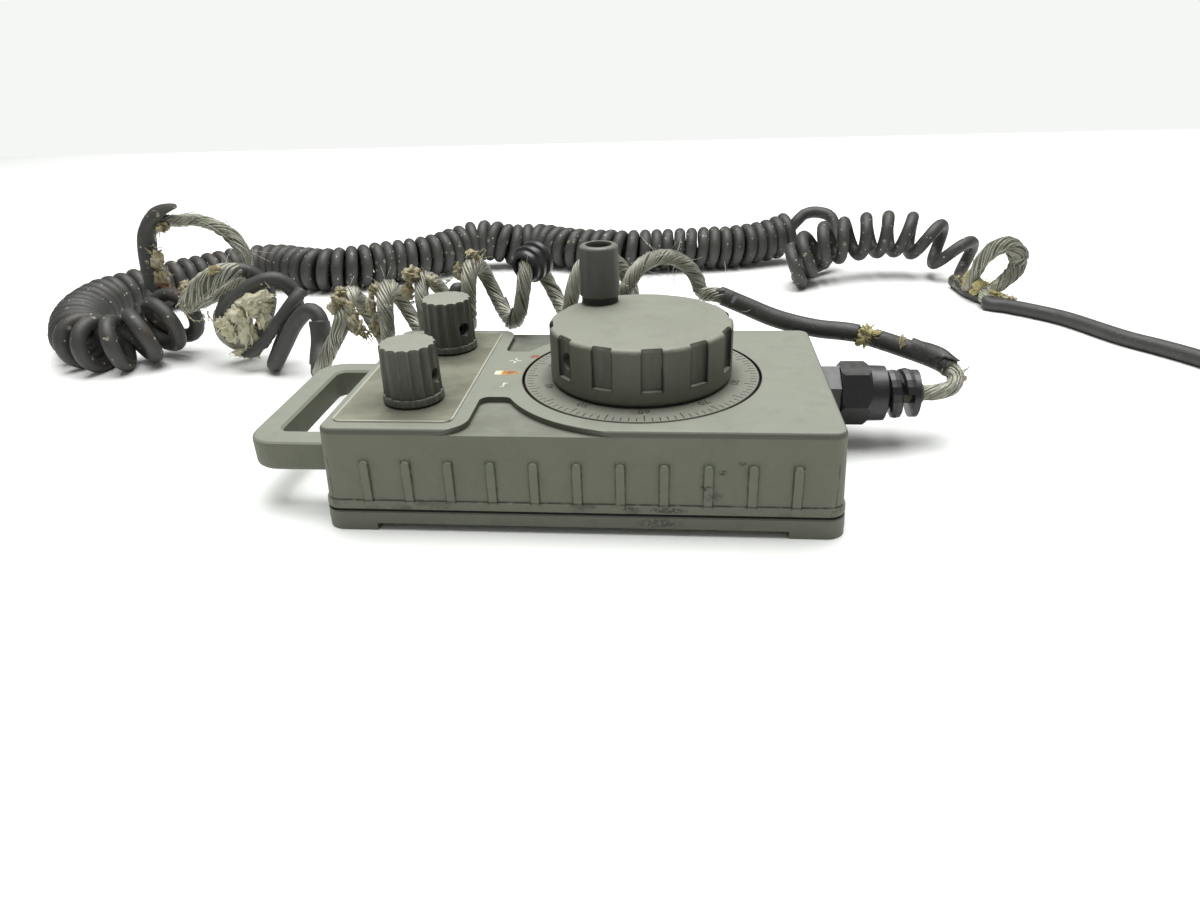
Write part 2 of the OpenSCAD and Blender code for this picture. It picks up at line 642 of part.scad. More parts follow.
module terminal_block() color("#27507a") at_case() translate([board_x + 4, board_y + 2, board_z + 1.6])
    difference() {
        cube([9, 32, 10]);
        for (k = [0:5]) translate([4.5, 3.5 + 5 * k, 4]) cylinder(h = 7, r = 1.6, $fn = 24);
    }

// --- cable gland
module gland_body() color(dark) on_gland_axis(0) difference() {
    union() {
        hexagon(gland_face, gland_hex_end, gland_af - 2.2);
        rod(case_l / 2 - wall - 6, gland_face, gland_thread_r);
        rod(gland_hex_end, gland_nut_end - 0.6, sleeve_r);
    }
    rod(case_l / 2 - wall - 7, gland_nut_end, cable_d / 2 + 0.6);
    rod(gland_hex_end - 1, gland_nut_end, cable_d / 2 + 2.6);
}

module gland_locknut() color(steel) on_gland_axis(0) difference() {
    rotate(30) hexagon(case_l / 2 - wall - 4, case_l / 2 - wall, 19);
    rod(case_l / 2 - wall - 5, case_l / 2 - wall + 1, gland_thread_r + slack);
}

module gland_seal() color(dark) on_gland_axis(0)
    ring(gland_hex_end - 1, gland_nut_end - 0.6, cable_d / 2 + 2.55, cable_d / 2 + 0.02);

module gland_nut() color(dark) on_gland_axis(0) difference() {
    union() {
        intersection() {
            rotate(35) hexagon(gland_hex_end + 0.3, gland_nut_end, gland_af);
            rotate_extrude() polygon([[0, gland_hex_end], [gland_af / 2 + 0.3, gland_hex_end],
                [gland_af / 2 + 1.6, gland_hex_end + 1.3], [gland_af / 2 + 1.6, gland_nut_end - 1.6],
                [gland_af / 2 + 0.1, gland_nut_end], [0, gland_nut_end]]);
        }
        rotate_extrude() polygon([[0, gland_nut_end - 1], [gland_af / 2 + 0.1, gland_nut_end - 1],
            [gland_af / 2 - 0.1, gland_cone_end - 2], [gland_bore + 1.6, gland_cone_end], [0, gland_cone_end]]);
    }
    rod(gland_hex_end, gland_nut_end - 0.3, sleeve_r + slack);
    rod(gland_nut_end - 1, gland_cone_end + 1, gland_bore);
}

// Bend protector: an open spiral of tall bar that springs from the nut's collar and ends in a ring.
module gland_spiral() color(dark) on_gland_axis(0) {
    sides = 10;
    half_x = 2.2;
    half_r = 2.5;
    steps = round(spiral_turns * 20);
    x0 = gland_cone_end + 0.2;
    x1 = spiral_end - 3;
    skin([for (i = [0:steps]) spiral_section(i / steps, x0, x1, half_x, half_r, sides)], false);
    ring(spiral_end - 2.2, spiral_end, gland_bore + 4.7, gland_bore);
}

// One section of the spiral bar, a rounded rectangle turned about the gland's axis.
function spiral_section(f, x0, x1, half_x, half_r, sides) = let (a = 180 + 360 * spiral_turns * f)
    [for (k = [0:sides - 1]) let (c = cos(360 * k / sides), s = sin(360 * k / sides),
            r = gland_bore + 0.3 + half_r + half_r * sign(c) * pow(abs(c), 0.7))
        [r * cos(a), r * sin(a), x0 + (x1 - x0) * f + half_x * sign(s) * pow(abs(s), 0.7)]];

module cable_entry() color(dark) on_gland_axis(0) rod(case_l / 2 - wall - 12, gland_tip, cable_d / 2);

// --- cable sweeps
function unit(v) = v / norm(v);
function heading(p, i) = unit(p[min(i + 1, len(p) - 1)] - p[max(i - 1, 0)]);
function hoop(c, t, r, sides, up) = let (s = unit(cross(t, up)), u = cross(s, t))
    [for (k = [0:sides - 1]) c + r * (cos(360 * k / sides) * s + sin(360 * k / sides) * u)];

// Closed solid through a list of rings that all have the same number of points.
module skin(rings, turn) {
    n = len(rings[0]);
    m = len(rings);
    side = [for (i = [0:m - 2], k = [0:n - 1], half = [0, 1])
        let (a = i * n + k, b = i * n + (k + 1) % n) half == 0 ? [a, b, b + n] : [a, b + n, a + n]];
    ends = [[for (k = [n - 1:-1:0]) k], [for (k = [0:n - 1]) (m - 1) * n + k]];
    faces = concat(side, ends);
    polyhedron(points = [for (r = rings) each r],
        faces = turn ? [for (f = faces) [for (i = [len(f) - 1:-1:0]) f[i]]] : faces, convexity = 6);
}

module sweep(route, r, up = [0, 0, 1], sides = 8)
    skin([for (i = [0:len(route) - 1]) hoop(route[i], heading(route, i), r, sides, up)], true);

module cord_lead() color(dark) sweep(lead_route, cable_d / 2);
module bare_coil() color("#7d8078") sweep(bare_coil_route, bare_coil_r);
module torn_coil() color(dark) sweep(torn_coil_route, bare_coil_r);
module torn_loop() color(dark) sweep(torn_loop_route, cable_d / 2, [0.3, 1, 0]);
module coil_left() color(dark) sweep(coil_left_route, coil_r);
module coil_back() color(dark) sweep(coil_back_route, coil_r);
module coil_right() color(dark) sweep(coil_right_route, coil_r);
module second_coil() color(dark) sweep(second_coil_route, coil_r);
module coil_link() color(dark) sweep(coil_link_route, cable_d / 2);
module bare_loop() color("#7d8078") sweep(bare_loop_route, cable_d / 2, [0.3, 1, 0]);

// Straight end of the cable: in to the stored coil, and from its top turn to the plug.
module cord_tail() color(dark) {
    sweep(tail_route, cable_d / 2);
    sweep(plug_lead_route, cable_d / 2);
}

// Four turns, two beside two.
module stored_coil() color(dark) translate([stored_x, stored_y, 0]) rotate_extrude()
    translate([stored_r, cable_d]) {
        for (x = [-1, 1], y = [-1, 1]) translate([x, y] * cable_d / 2) circle(cable_d / 2);
        square(cable_d, center = true);
        square([2 * cable_d, cable_d], center = true);
        square([cable_d, 2 * cable_d], center = true);
    }

// Ribbed rubber grommet threaded on the bare stretch.
module cord_grommet() color(dark) translate(grommet_place) rotate([0, 101, -117]) difference() {
    rotate_extrude() polygon([[0, -5], [6.6, -5], [7.3, -4.2], [7.3, -2.4], [6.3, -1.6], [6.3, -0.4],
        [7.2, 0.2], [7.2, 1.8], [6.2, 2.4], [6, 4.2], [5.4, 5], [0, 5]]);
    rod(-6, 6, 4.2);
}

// --- plug on the cable's far end: a moulded hood over a fifteen-pole connector
plug_mid = plug_h / 2;
plug_front = plug_y - plug_l;

module plug_hood() color("#4b4d4c") translate([plug_x, plug_y, plug_mid]) rotate([90, 0, 0]) difference() {
    union() {
        translate([-plug_w / 2, -plug_h / 2, 8]) cube([plug_w, plug_h, plug_l - 8]);
        hull() {
            translate([-plug_w / 2, -plug_h / 2, 14]) cube([plug_w, plug_h, 1]);
            translate([-7, -plug_h / 2, 0]) cube([14, plug_h, 1]);
        }
    }
    translate([-plug_w / 2 + 2, -plug_h / 2 + 2, 16]) cube([plug_w - 4, plug_h - 4, plug_l]);
    rod(-1, plug_l, cable_d / 2 + slack);
    for (x = [-1, 1]) translate([x * (plug_w / 2 - 4), 0, 0]) rod(-1, plug_l + 1, 1.6 + slack);
}

module plug_clamp() color(steel) translate([plug_x, plug_y - 22, plug_mid]) rotate([90, 0, 0])
    difference() {
        translate([-9, -plug_h / 2 + 2, -3]) cube([18, plug_h - 4, 6]);
        rod(-4, 4, cable_d / 2 + slack);
    }

// D-shaped outline of the connector's shell.
module d_outline(w, h) hull() for (x = [-1, 1])
    for (y = [-1, 1])
        translate([x * (w / 2 - 2 - (y < 0 ? h * 0.18 : 0)), y * (h / 2 - 2)]) circle(2, $fn = 24);

module plug_insert() color("#c9b36a") translate([plug_x, plug_front, plug_mid]) rotate([90, 0, 0]) {
    difference() {
        union() {
            translate([-plug_w / 2 + 0.4, -6.25, 0]) cube([plug_w - 0.8, 12.5, 1.2]);
            linear_extrude(7) d_outline(25, 8.4);
            translate([-12, -4, -7]) cube([24, 8, 7]);
        }
        translate([0, 0, 2]) linear_extrude(6) d_outline(24, 7.4);
        for (x = [-1, 1]) translate([x * (plug_w / 2 - 4), 0, -8]) rod(0, 12, 1.6 + slack);
    }
}

module plug_pins() color(brass) translate([plug_x, plug_front, plug_mid]) rotate([90, 0, 0])
    for (row = [0, 1], k = [0:7 - row]) translate([(k - 3.5 + row / 2) * 2.76, 1.42 - 2.84 * row, 0])
        rod(2, 6.5, 0.5, $fn = 16);

module plug_screws() color(steel) for (x = [-1, 1])
    translate([plug_x + x * (plug_w / 2 - 4), plug_y, plug_mid]) rotate([90, 0, 0]) {
        rod(-2, plug_l + 7, 1.6);
        rod(-9, -2, 3.2, $fn = 24);
    }

upper_case();
bottom_cover();
cover_gasket();
cover_screws();
legend_plate();
switch_body(-1);  // axis_switch_body
switch_body(1);  // scale_switch_body
switch_washers();
switch_nuts();
switch_shaft(-1, axis_turn);  // axis_switch_shaft
switch_shaft(1, scale_turn);  // scale_switch_shaft
knob(-1, axis_turn);  // axis_knob
knob(1, scale_turn);  // scale_knob
knob_screw(-1, axis_turn);  // axis_set_screw
knob_screw(1, scale_turn);  // scale_set_screw
encoder_housing();
encoder_cap();
encoder_screws();
bearing_upper();
bearing_lower();
encoder_board();
optical_sensor();
code_disc();
click_wheel();
click_ball();
click_spring();
encoder_shaft();
handwheel();
dial_ring();
dial_screws();
wheel_set_screw();
spinner_grip();
grip_washer();
grip_screw();
wiring_board();
terminal_block();
gland_body();
gland_locknut();
gland_seal();
gland_nut();
gland_spiral();
cable_entry();
cord_lead();
bare_coil();
cord_grommet();
torn_coil();
torn_loop();
coil_left();
coil_back();
coil_right();
second_coil();
coil_link();
bare_loop();
cord_tail();
stored_coil();
plug_hood();
plug_insert();
plug_pins();
plug_screws();
plug_clamp();
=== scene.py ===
"""Looks of a hand-held pulse generator: a moulded case with a graduated handwheel, two selector knobs,
a carrying loop and a long coiled cable that has lost stretches of its jacket."""
import math

import bpy
import numpy as np
from mathutils import Matrix


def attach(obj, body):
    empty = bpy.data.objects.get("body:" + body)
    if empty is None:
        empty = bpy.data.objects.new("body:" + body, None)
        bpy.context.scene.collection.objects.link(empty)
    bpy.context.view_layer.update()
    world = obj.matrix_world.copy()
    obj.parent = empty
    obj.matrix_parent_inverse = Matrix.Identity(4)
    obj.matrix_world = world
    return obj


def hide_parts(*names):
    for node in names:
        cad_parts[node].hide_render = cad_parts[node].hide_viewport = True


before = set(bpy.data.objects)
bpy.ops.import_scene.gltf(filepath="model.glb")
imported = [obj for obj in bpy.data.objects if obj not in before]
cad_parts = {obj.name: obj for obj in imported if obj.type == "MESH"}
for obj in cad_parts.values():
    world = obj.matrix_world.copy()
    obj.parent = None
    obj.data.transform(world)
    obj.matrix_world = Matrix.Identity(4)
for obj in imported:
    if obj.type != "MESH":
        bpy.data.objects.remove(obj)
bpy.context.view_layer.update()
scene = bpy.context.scene
scene.view_settings.view_transform = "Standard"

# --- Camera -------------------------------------------------------------------------------------------
# A 25 mm lens about 0.3 m in front of the case and 0.14 m over the table, turned a little to the left.
CAMERA_AT = (0.02583, -0.26009, 0.13677)
TURN_LEFT, LOOK_DOWN, TILT = 0.1031, 0.467, -0.0338
level_right = np.array([math.cos(TURN_LEFT), math.sin(TURN_LEFT), 0.0])
level_ahead = np.array([-math.sin(TURN_LEFT), math.cos(TURN_LEFT), 0.0])
forward = math.cos(LOOK_DOWN) * level_ahead - np.array([0.0, 0.0, math.sin(LOOK_DOWN)])
level_up = np.cross(level_right, forward)
right = math.cos(TILT) * level_right + math.sin(TILT) * level_up
up = math.cos(TILT) * level_up - math.sin(TILT) * level_right
camera = bpy.data.objects.new("camera", bpy.data.cameras.new("camera"))
camera.data.sensor_width = 36.0
camera.data.lens = 24.87
camera.matrix_world = Matrix([(right[i], up[i], -forward[i], CAMERA_AT[i]) for i in range(3)] + [(0, 0, 0, 1)])
scene.collection.objects.link(camera)
scene.camera = camera

# --- Cable --------------------------------------------------------------------------------------------
# One 7 mm screened cable. Its coils are set in the jacket; in places the jacket is torn away and the
# bare screen shows. It leaves the gland and ends in a plug beside the stored coil.
CABLE_R = 0.0035
CORE_R = 0.0024
COIL_R = 0.0095
BARE_R = 0.0118
PER_TURN = 24


def run_of(line):
    """Distance along a line at each of its points."""
    return np.concatenate([[0], np.cumsum(np.linalg.norm(np.diff(line, axis=0), axis=1))])


def at_run(line, s):
    """Points of a line at the given distances along it."""
    run = run_of(line)
    return np.stack([np.interp(s, run, line[:, k]) for k in range(3)], axis=-1)


def smooth(points, step=0.002):
    """Catmull-Rom curve through points in millimetres, resampled evenly: each span is a cubic whose slope
    at a point is half the chord between its two neighbours."""
    p = np.array(points, float) / 1000
    p = np.vstack([2 * p[0] - p[1], p, 2 * p[-1] - p[-2]])
    t = np.linspace(0, len(p) - 3 - 1e-9, 60 * (len(p) - 3))
    i, f = t.astype(int), (t % 1)[:, None]
    a, b, c, d = p[i], p[i + 1], p[i + 2], p[i + 3]
    line = b + 0.5 * f * (c - a + f * (2 * a - 5 * b + 4 * c - d + f * (3 * (b - c) + d - a)))
    length = run_of(line)[-1]
    return at_run(line, np.linspace(0, length, int(round(length / step)) + 1))


def unit(v):
    """Each row at length one."""
    return v / np.maximum(np.linalg.norm(v, axis=-1, keepdims=True), 1e-12)


def ease(x):
    """Smooth step from 0 to 1."""
    x = np.clip(x, 0, 1)
    return x * x * (3 - 2 * x)


def wobble(x, seed, n=5):
    """Slow wavering between about -1 and 1: a sum of n sines with seeded phases."""
    phase = np.random.default_rng(seed).uniform(0, 6.283, n)
    return sum(np.sin(x * (0.6 + k) + phase[k]) / (1 + 0.6 * k) for k in range(n)) / 2.2


def running_mean(line, n):
    """Mean over n neighbours, the ends held."""
    pad = np.vstack([np.repeat(line[:1], n // 2, axis=0), line, np.repeat(line[-1:], n // 2, axis=0)])
    total = np.cumsum(np.vstack([np.zeros((1, 3)), pad]), axis=0)
    return (total[n:] - total[:-n]) / n


def coil(route, radius, tops, seed, uneven=0.03, yaw=(0, 0), tilt=(0, 0)):
    """Left-handed helix about a curved axis: the point turns from the axis's upper side to the left of the
    way it runs, at the top at each of the given distances along (or at each inner point of the route).
    radius is a function of that distance. Each turn is turned about the upright by its yaw in degrees,
    and its top leans along the way by its tilt."""
    axis = smooth(route, 0.0004)
    s = run_of(axis)
    if tops is None:
        tops = run_of(np.array(route, float))
        tops = tops[1:-1] * s[-1] / tops[-1]
    k = np.arange(len(tops))
    before, after = (s - tops[0]) / (tops[1] - tops[0]), k[-1] + (s - tops[-1]) / (tops[-1] - tops[-2])
    turn = np.where(s < tops[0], before, np.where(s > tops[-1], after, np.interp(s, tops, k)))
    at = np.linspace(turn[0], turn[-1], int((turn[-1] - turn[0]) * PER_TURN))
    along = np.interp(at, turn, s)
    pos = at_run(axis, along)
    way = unit(np.gradient(running_mean(pos, 31), axis=0))
    side = unit(np.cross(way, [0, 0, 1]))
    over = unit(np.cross(side, way) + np.interp(at, range(len(tilt)), tilt)[:, None] * way)
    turned = np.radians(np.interp(at, range(len(yaw)), yaw))[:, None]
    side = side * np.cos(turned) + way * np.sin(turned)
    r = radius(along) * (1 + uneven * wobble(at * 1.3, seed))
    line = pos + (np.cos(2 * math.pi * at) * r)[:, None] * over - (np.sin(2 * math.pi * at) * r)[:, None] * side
    line += (0.0005 * wobble(at * 2.1, seed + 9))[:, None] * way
    return line, way


def bridge(a, b):
    """Cubic from the end of line a to the start of line b that leaves and meets them along their own way."""
    p, q = a[-1], b[0]
    gap = np.linalg.norm(q - p)
    u, v = unit(a[-1] - a[-3]) * gap, unit(b[2] - b[0]) * gap
    t = np.linspace(0, 1, max(4, int(gap / 0.002)))[1:-1, None]
    return (2 * t**3 - 3 * t**2 + 1) * p + (t**3 - 2 * t**2 + t) * u + (3 * t**2 - 2 * t**3) * q + (t**3 - t**2) * v


# The route in millimetres, as the part's own solids hold it; the torn stretch turn by turn.
LEAD = [(112, 20, 19), (118.5, 20, 19.8), (123, 22, 21), (124.5, 26.5, 23.5), (120.5, 31.5, 26.5),
        (107, 36.5, 30.5), (91.5, 42, 33.8), (78, 48, 33.7), (63.5, 51, 36.5), (50, 53, 41.7), (42, 53.5, 45)]
BARE = [(28.5, 53.4, 49), (20, 53.2, 49), (-5, 53.2, 48.7), (-31, 53.5, 47.8), (-52, 55.5, 45.6), (-73, 60, 39.5),
        (-90, 62, 35), (-106, 64, 32)]
BARE_TOPS = [0.0083, 0.0343, 0.06, 0.081, 0.103, 0.1207, 0.139]
BARE_YAW = (-46, -18, 20, 25, 25)
TORN = [(-112, 54, 31), (-123, 56, 15), (-129, 64, 9), (-131, 74, 17), (-131, 79, 27), (-136, 81, 31),
        (-144, 82, 25), (-152, 83, 14), (-159, 84, 4.5), (-161, 94, 7), (-156, 101, 20), (-151, 102, 31),
        (-157, 99, 40), (-167, 96, 38.5), (-177, 93, 32), (-185, 93, 24), (-187, 96, 14), (-181, 102, 7),
        (-173, 107, 16), (-168, 109, 30), (-173, 107, 41), (-181, 103, 43), (-191, 99, 39), (-201, 98, 31),
        (-207, 104, 26), (-204, 111, 26), (-193, 116, 30), (-184, 119, 36), (-182, 121, 43), (-185, 123, 51),
        (-192, 124, 58), (-203, 125, 62), (-215, 125, 62), (-224, 125, 61), (-230, 125, 55), (-232, 125, 46),
        (-234, 124, 35), (-235, 121, 27.5), (-232, 116, 24.5), (-226, 112.5, 27.5)]
WHOLE = [(-218, 115, 19), (-220, 107, 18), (-225, 97, 15.5), (-233, 90, 13.5), (-243, 88, 13), (-254, 92, 13),
         (-264, 102, 13), (-273, 115, 13), (-280, 129, 13), (-284, 144, 13), (-285, 157, 13), (-281, 170, 13),
         (-275, 181, 13), (-268, 191, 13), (-261, 202, 13), (-254, 213, 13), (-246, 224, 13), (-235, 231, 13),
         (-221, 232, 13), (-204, 226, 13), (-190, 221, 13), (-172, 225, 13), (-154, 238, 13), (-136, 249, 13),
         (-123, 260, 14), (-113, 270, 16), (-104, 275, 17.5), (-94, 276, 17), (-85, 276, 15), (-77, 278, 14),
         (-68, 280, 14), (-57, 277, 13.5), (-43, 270, 13), (-26, 265, 13), (-8, 261, 13), (12, 264, 13),
         (35, 267, 13), (58, 271, 13), (76, 278, 14), (92, 284, 17), (97, 285.3, 19.4)]
WHOLE_PITCH, WHOLE_TURNS = 0.0073, 94
FIRST_WIDER, FIRST_FATTER = 0.003, 0.0015
SECOND_R = 0.0103
WHOLE_TILT = (0.2, 0.3, 0.3, 0.3, 0.25, 0.1, 0)
LINK = [(99, 277, 27), (104, 279, 31), (112, 279, 32), (120, 275, 29), (122, 266, 17), (116, 257, 7), (104, 246, 4),
        (96, 235, 3.8)]
SECOND = [(91.6, 223.3, 10.6), (95, 226, 13), (101, 231, 18), (112, 237, 22), (123, 242, 23), (136.5, 247, 24),
          (148, 249, 24.5), (160, 249, 24), (173, 247, 21), (188, 240, 13.5), (192, 238, 11)]
SECOND_YAW = (-40, -33, -28, -25, -15, -5, 0)
SECOND_TILT = (-0.2, -0.15, -0.15, -0.15, -0.1, 0, 0.1, 0.1, 0.1)
LOOP = [(188, 230, 4.2), (185.5, 219, 4), (184, 206, 4), (183.5, 197, 9), (184, 194, 17), (187, 192, 25),
        (192, 191, 30.5), (199, 191, 30.5), (203, 190, 24), (201, 189, 17), (195, 188, 11), (188, 186, 7),
        (187, 181, 4)]
TAIL = [(196, 174, 3.5), (206, 165, 3.5), (217, 152, 3.5), (230, 126, 3.5), (241, 111, 3.5), (250, 97, 3.5),
        (256, 83, 3.5), (258, 73, 3.5), (258, 66, 3.5)]
STORED_AT = (0.3, 0.06)
STORED_R = 0.0385
STRAP_THICK, STRAP_HALF = 0.0005, 0.0045
PLUG_LEAD = [(258, 44, 10.5), (258, 30, 9.5), (258, 16, 8), (258, 4, 7.5), (258, -20, 7.5)]

lead = smooth(LEAD)
bare, bare_way = coil(BARE, lambda s: BARE_R * (0.75 + 0.25 * ease(s / 0.012)), BARE_TOPS, 3, 0.05, BARE_YAW)
torn = smooth(TORN)
whole_tops = np.cumsum(WHOLE_PITCH + FIRST_WIDER * (1 - ease((np.arange(WHOLE_TURNS) - 5) / 4)))
whole, whole_way = coil(
    WHOLE, lambda s: COIL_R + FIRST_FATTER * (1 - ease(s / 0.12)), whole_tops, 5, tilt=WHOLE_TILT)
link = smooth(LINK)
second, second_way = coil(SECOND, lambda s: SECOND_R, None, 7, 0.02, SECOND_YAW, SECOND_TILT)
loop = smooth(LOOP, 0.0015)
tail = smooth(TAIL)
# The stored coil: out on the table, in, up a layer and out again.
turn = np.linspace(0, 4, 4 * 64 + 1)
ring_r = STORED_R + CABLE_R * np.where(turn < 2, 1 - 2 * ease(2.2 * (turn - 0.8)), 2 * ease(2.2 * (turn - 2.8)) - 1)
ring_z = 2 * CABLE_R * (0.5 + ease(3 * (turn - 1.85)))
ring_a = math.pi + turn * 2 * math.pi
stored = np.stack([STORED_AT[0] + ring_r * np.cos(ring_a), STORED_AT[1] + ring_r * np.sin(ring_a), ring_z], axis=1)
plug_lead = smooth(PLUG_LEAD)

line_parts, axis_parts = [], []
for part, way in [(lead, None), (bare, bare_way), (torn, None), (whole, whole_way), (link, None),
                  (second, second_way), (loop, None), (tail, None), (stored, None), (plug_lead, None)]:
    if line_parts:
        line_parts.append(bridge(line_parts[-1], part))
        axis_parts.append(np.zeros_like(line_parts[-1]))
    line_parts.append(part)
    axis_parts.append(np.zeros_like(part) + [0, 0, 1e-3] if way is None else way)
cable = np.vstack(line_parts)
cable_s = run_of(cable)
cable_ref = running_mean(unit(np.vstack(axis_parts) + [0, 0, 1e-6]), 15)


def run_near(x, y, z):
    """Distance along the cable of its point nearest to a place in millimetres."""
    return float(cable_s[np.argmin(np.linalg.norm(cable - np.array([x, y, z]) / 1000, axis=1))])


# Stretches without their jacket: at the gland, the long bare spiral, a split in the second torn turn, the
# arch and its frayed foot, and the loop at the far end of the second coil.
STRIPPED = [(0, run_near(124, 28, 24.5)), (run_near(43, 53.5, 45), run_near(-128, 63, 9)),
            (run_near(-184, 93, 25), run_near(-182, 101, 8)), (run_near(-178, 105, 43), run_near(-233, 124, 32)),
            (run_near(184, 207, 4), run_near(187, 181, 4)), (run_near(97, 40, 32.9), run_near(92.5, 41.6, 33.6))]
# How far the screen is loosened: centre, half length and extra share of the radius.
FRAYED = [(run_near(-192, 99, 39), 0.018, 0.85), (run_near(-108, 60, 43), 0.02, 0.35),
          (run_near(-90, 62, 46), 0.014, 0.35), (run_near(-52, 56, 58), 0.012, 0.2),
          (run_near(200, 190.5, 28), 0.024, 0.75), (run_near(-177, 94, 22), 0.01, 0.4),
          (run_near(-186, 124, 54), 0.012, 0.25)]


def loosened(s):
    """How far the screen is spread at distances along the cable: 1 plus a bell round each frayed place."""
    return 1 + sum(more * np.exp(-((s - middle) / half) ** 2) for middle, half, more in FRAYED)


def ref_along(s):
    """The cable's reference direction at distances along it."""
    return np.stack([np.interp(s, cable_s, cable_ref[:, k]) for k in range(3)], axis=1)


def across(line, ref):
    """The two directions square to a line's way: level with the reference, and over it."""
    way = unit(np.gradient(line, axis=-2))
    side = unit(np.cross(way, ref))
    return side, np.cross(side, way)


def hoops(line, ref, radius, sides, flat=1.0):
    """Tube about a line: on each cross-section an ellipse of the given radius, squeezed by flat towards
    the reference direction. Lines may come several at a time."""
    side, over = across(line, ref)
    a = 2 * math.pi * np.arange(sides)[:, None] / sides
    r = np.asarray(radius)
    r = r[..., None] if r.ndim and r.shape[-1] != sides else r
    spoke = side[..., None, :] * np.cos(a) + flat * over[..., None, :] * np.sin(a)
    return line[..., None, :] + r[..., None] * spoke


def build(name, points, loops, sizes):
    """Mesh object from its points, the corners of all its faces in a row, and the size of each face."""
    mesh = bpy.data.meshes.new(name)
    mesh.vertices.add(len(points))
    mesh.vertices.foreach_set("co", points.ravel())
    mesh.loops.add(len(loops))
    mesh.loops.foreach_set("vertex_index", loops.astype(np.int32))
    mesh.polygons.add(len(sizes))
    mesh.polygons.foreach_set("loop_start", (np.cumsum(sizes) - sizes).astype(np.int32))
    mesh.update()
    piece = bpy.data.objects.new(name, mesh)
    scene.collection.objects.link(piece)
    return piece


def grid_mesh(name, grids, marks=None, smooth=True):
    """Mesh of closed grids, each a stack of hoops with as many points: quads between neighbours, a fan over
    each end. The UV map holds the way round and the share of the length; marks pick each quad's slot."""
    grids = grids if grids.ndim == 4 else grids[None]
    t, m, n = grids.shape[:3]
    b, i, k = np.meshgrid(np.arange(t), np.arange(m - 1), np.arange(n), indexing="ij")
    b, i, k = b.ravel() * m * n, i.ravel(), k.ravel()
    j = (k + 1) % n
    quads = np.stack([b + i * n + k, b + (i + 1) * n + k, b + (i + 1) * n + j, b + i * n + j], axis=1)
    u = np.stack([k, k, k + 1, k + 1], axis=1) / n
    v = np.stack([i, i + 1, i + 1, i], axis=1) / (m - 1)
    points = np.vstack([grids.reshape(-1, 3), grids[:, 0].mean(axis=1), grids[:, -1].mean(axis=1)])
    g, a = [x.ravel() for x in np.meshgrid(np.arange(t), np.arange(n), indexing="ij")]
    c = (a + 1) % n
    first = np.stack([g * m * n + a, g * m * n + c, t * m * n + g], axis=1)
    last = np.stack([g * m * n + (m - 1) * n + c, g * m * n + (m - 1) * n + a, t * m * n + t + g], axis=1)
    loops = np.concatenate([quads.ravel(), first.ravel(), last.ravel()])
    sizes = np.concatenate([np.full(len(quads), 4), np.full(2 * len(first), 3)])
    piece = build(name, points, loops, sizes)
    mesh = piece.data
    mesh.polygons.foreach_set("use_smooth", np.full(len(sizes), smooth))
    if marks is not None:
        quad_marks = np.broadcast_to(marks[:-1, :], (m - 1, n)).ravel()
        mesh.polygons.foreach_set("material_index", np.concatenate([quad_marks, np.zeros(2 * n)]).astype(np.int32))
    uv = np.concatenate([np.stack([u, v], axis=2).reshape(-1, 2), np.zeros((6 * len(first), 2))])
    mesh.uv_layers.new(name="along").data.foreach_set("uv", uv.ravel())
    mesh.update()
    return piece


class Wire:
    """An output of a shader node; arithmetic on it adds the maths nodes that work it out."""

    def __init__(self, paint, socket):
        self.paint, self.socket = paint, socket

    def maths(self, kind, *others):
        return self.paint.put("ShaderNodeMath", {"operation": kind}, {i: v for i, v in enumerate((self, *others))})

    def __add__(self, other):
        return self.maths("ADD", other)

    def __sub__(self, other):
        return self.maths("SUBTRACT", other)

    def __rsub__(self, other):
        return (self * -1) + other

    def __mul__(self, other):
        return self.maths("MULTIPLY", other)

    def __truediv__(self, other):
        return self.maths("DIVIDE", other)

    __radd__, __rmul__ = __add__, __mul__

    def over(self, edge, soft=0.1):
        """1 where the value is over an edge, 0 under it, soft wide between."""
        return ((self - edge) / soft + 0.5).maths("MINIMUM", 1.0).maths("MAXIMUM", 0.0)

    def within(self, middle, half, soft=0.1):
        """1 within half of a middle value."""
        return 1 - (self - middle).maths("ABSOLUTE").over(half, soft)


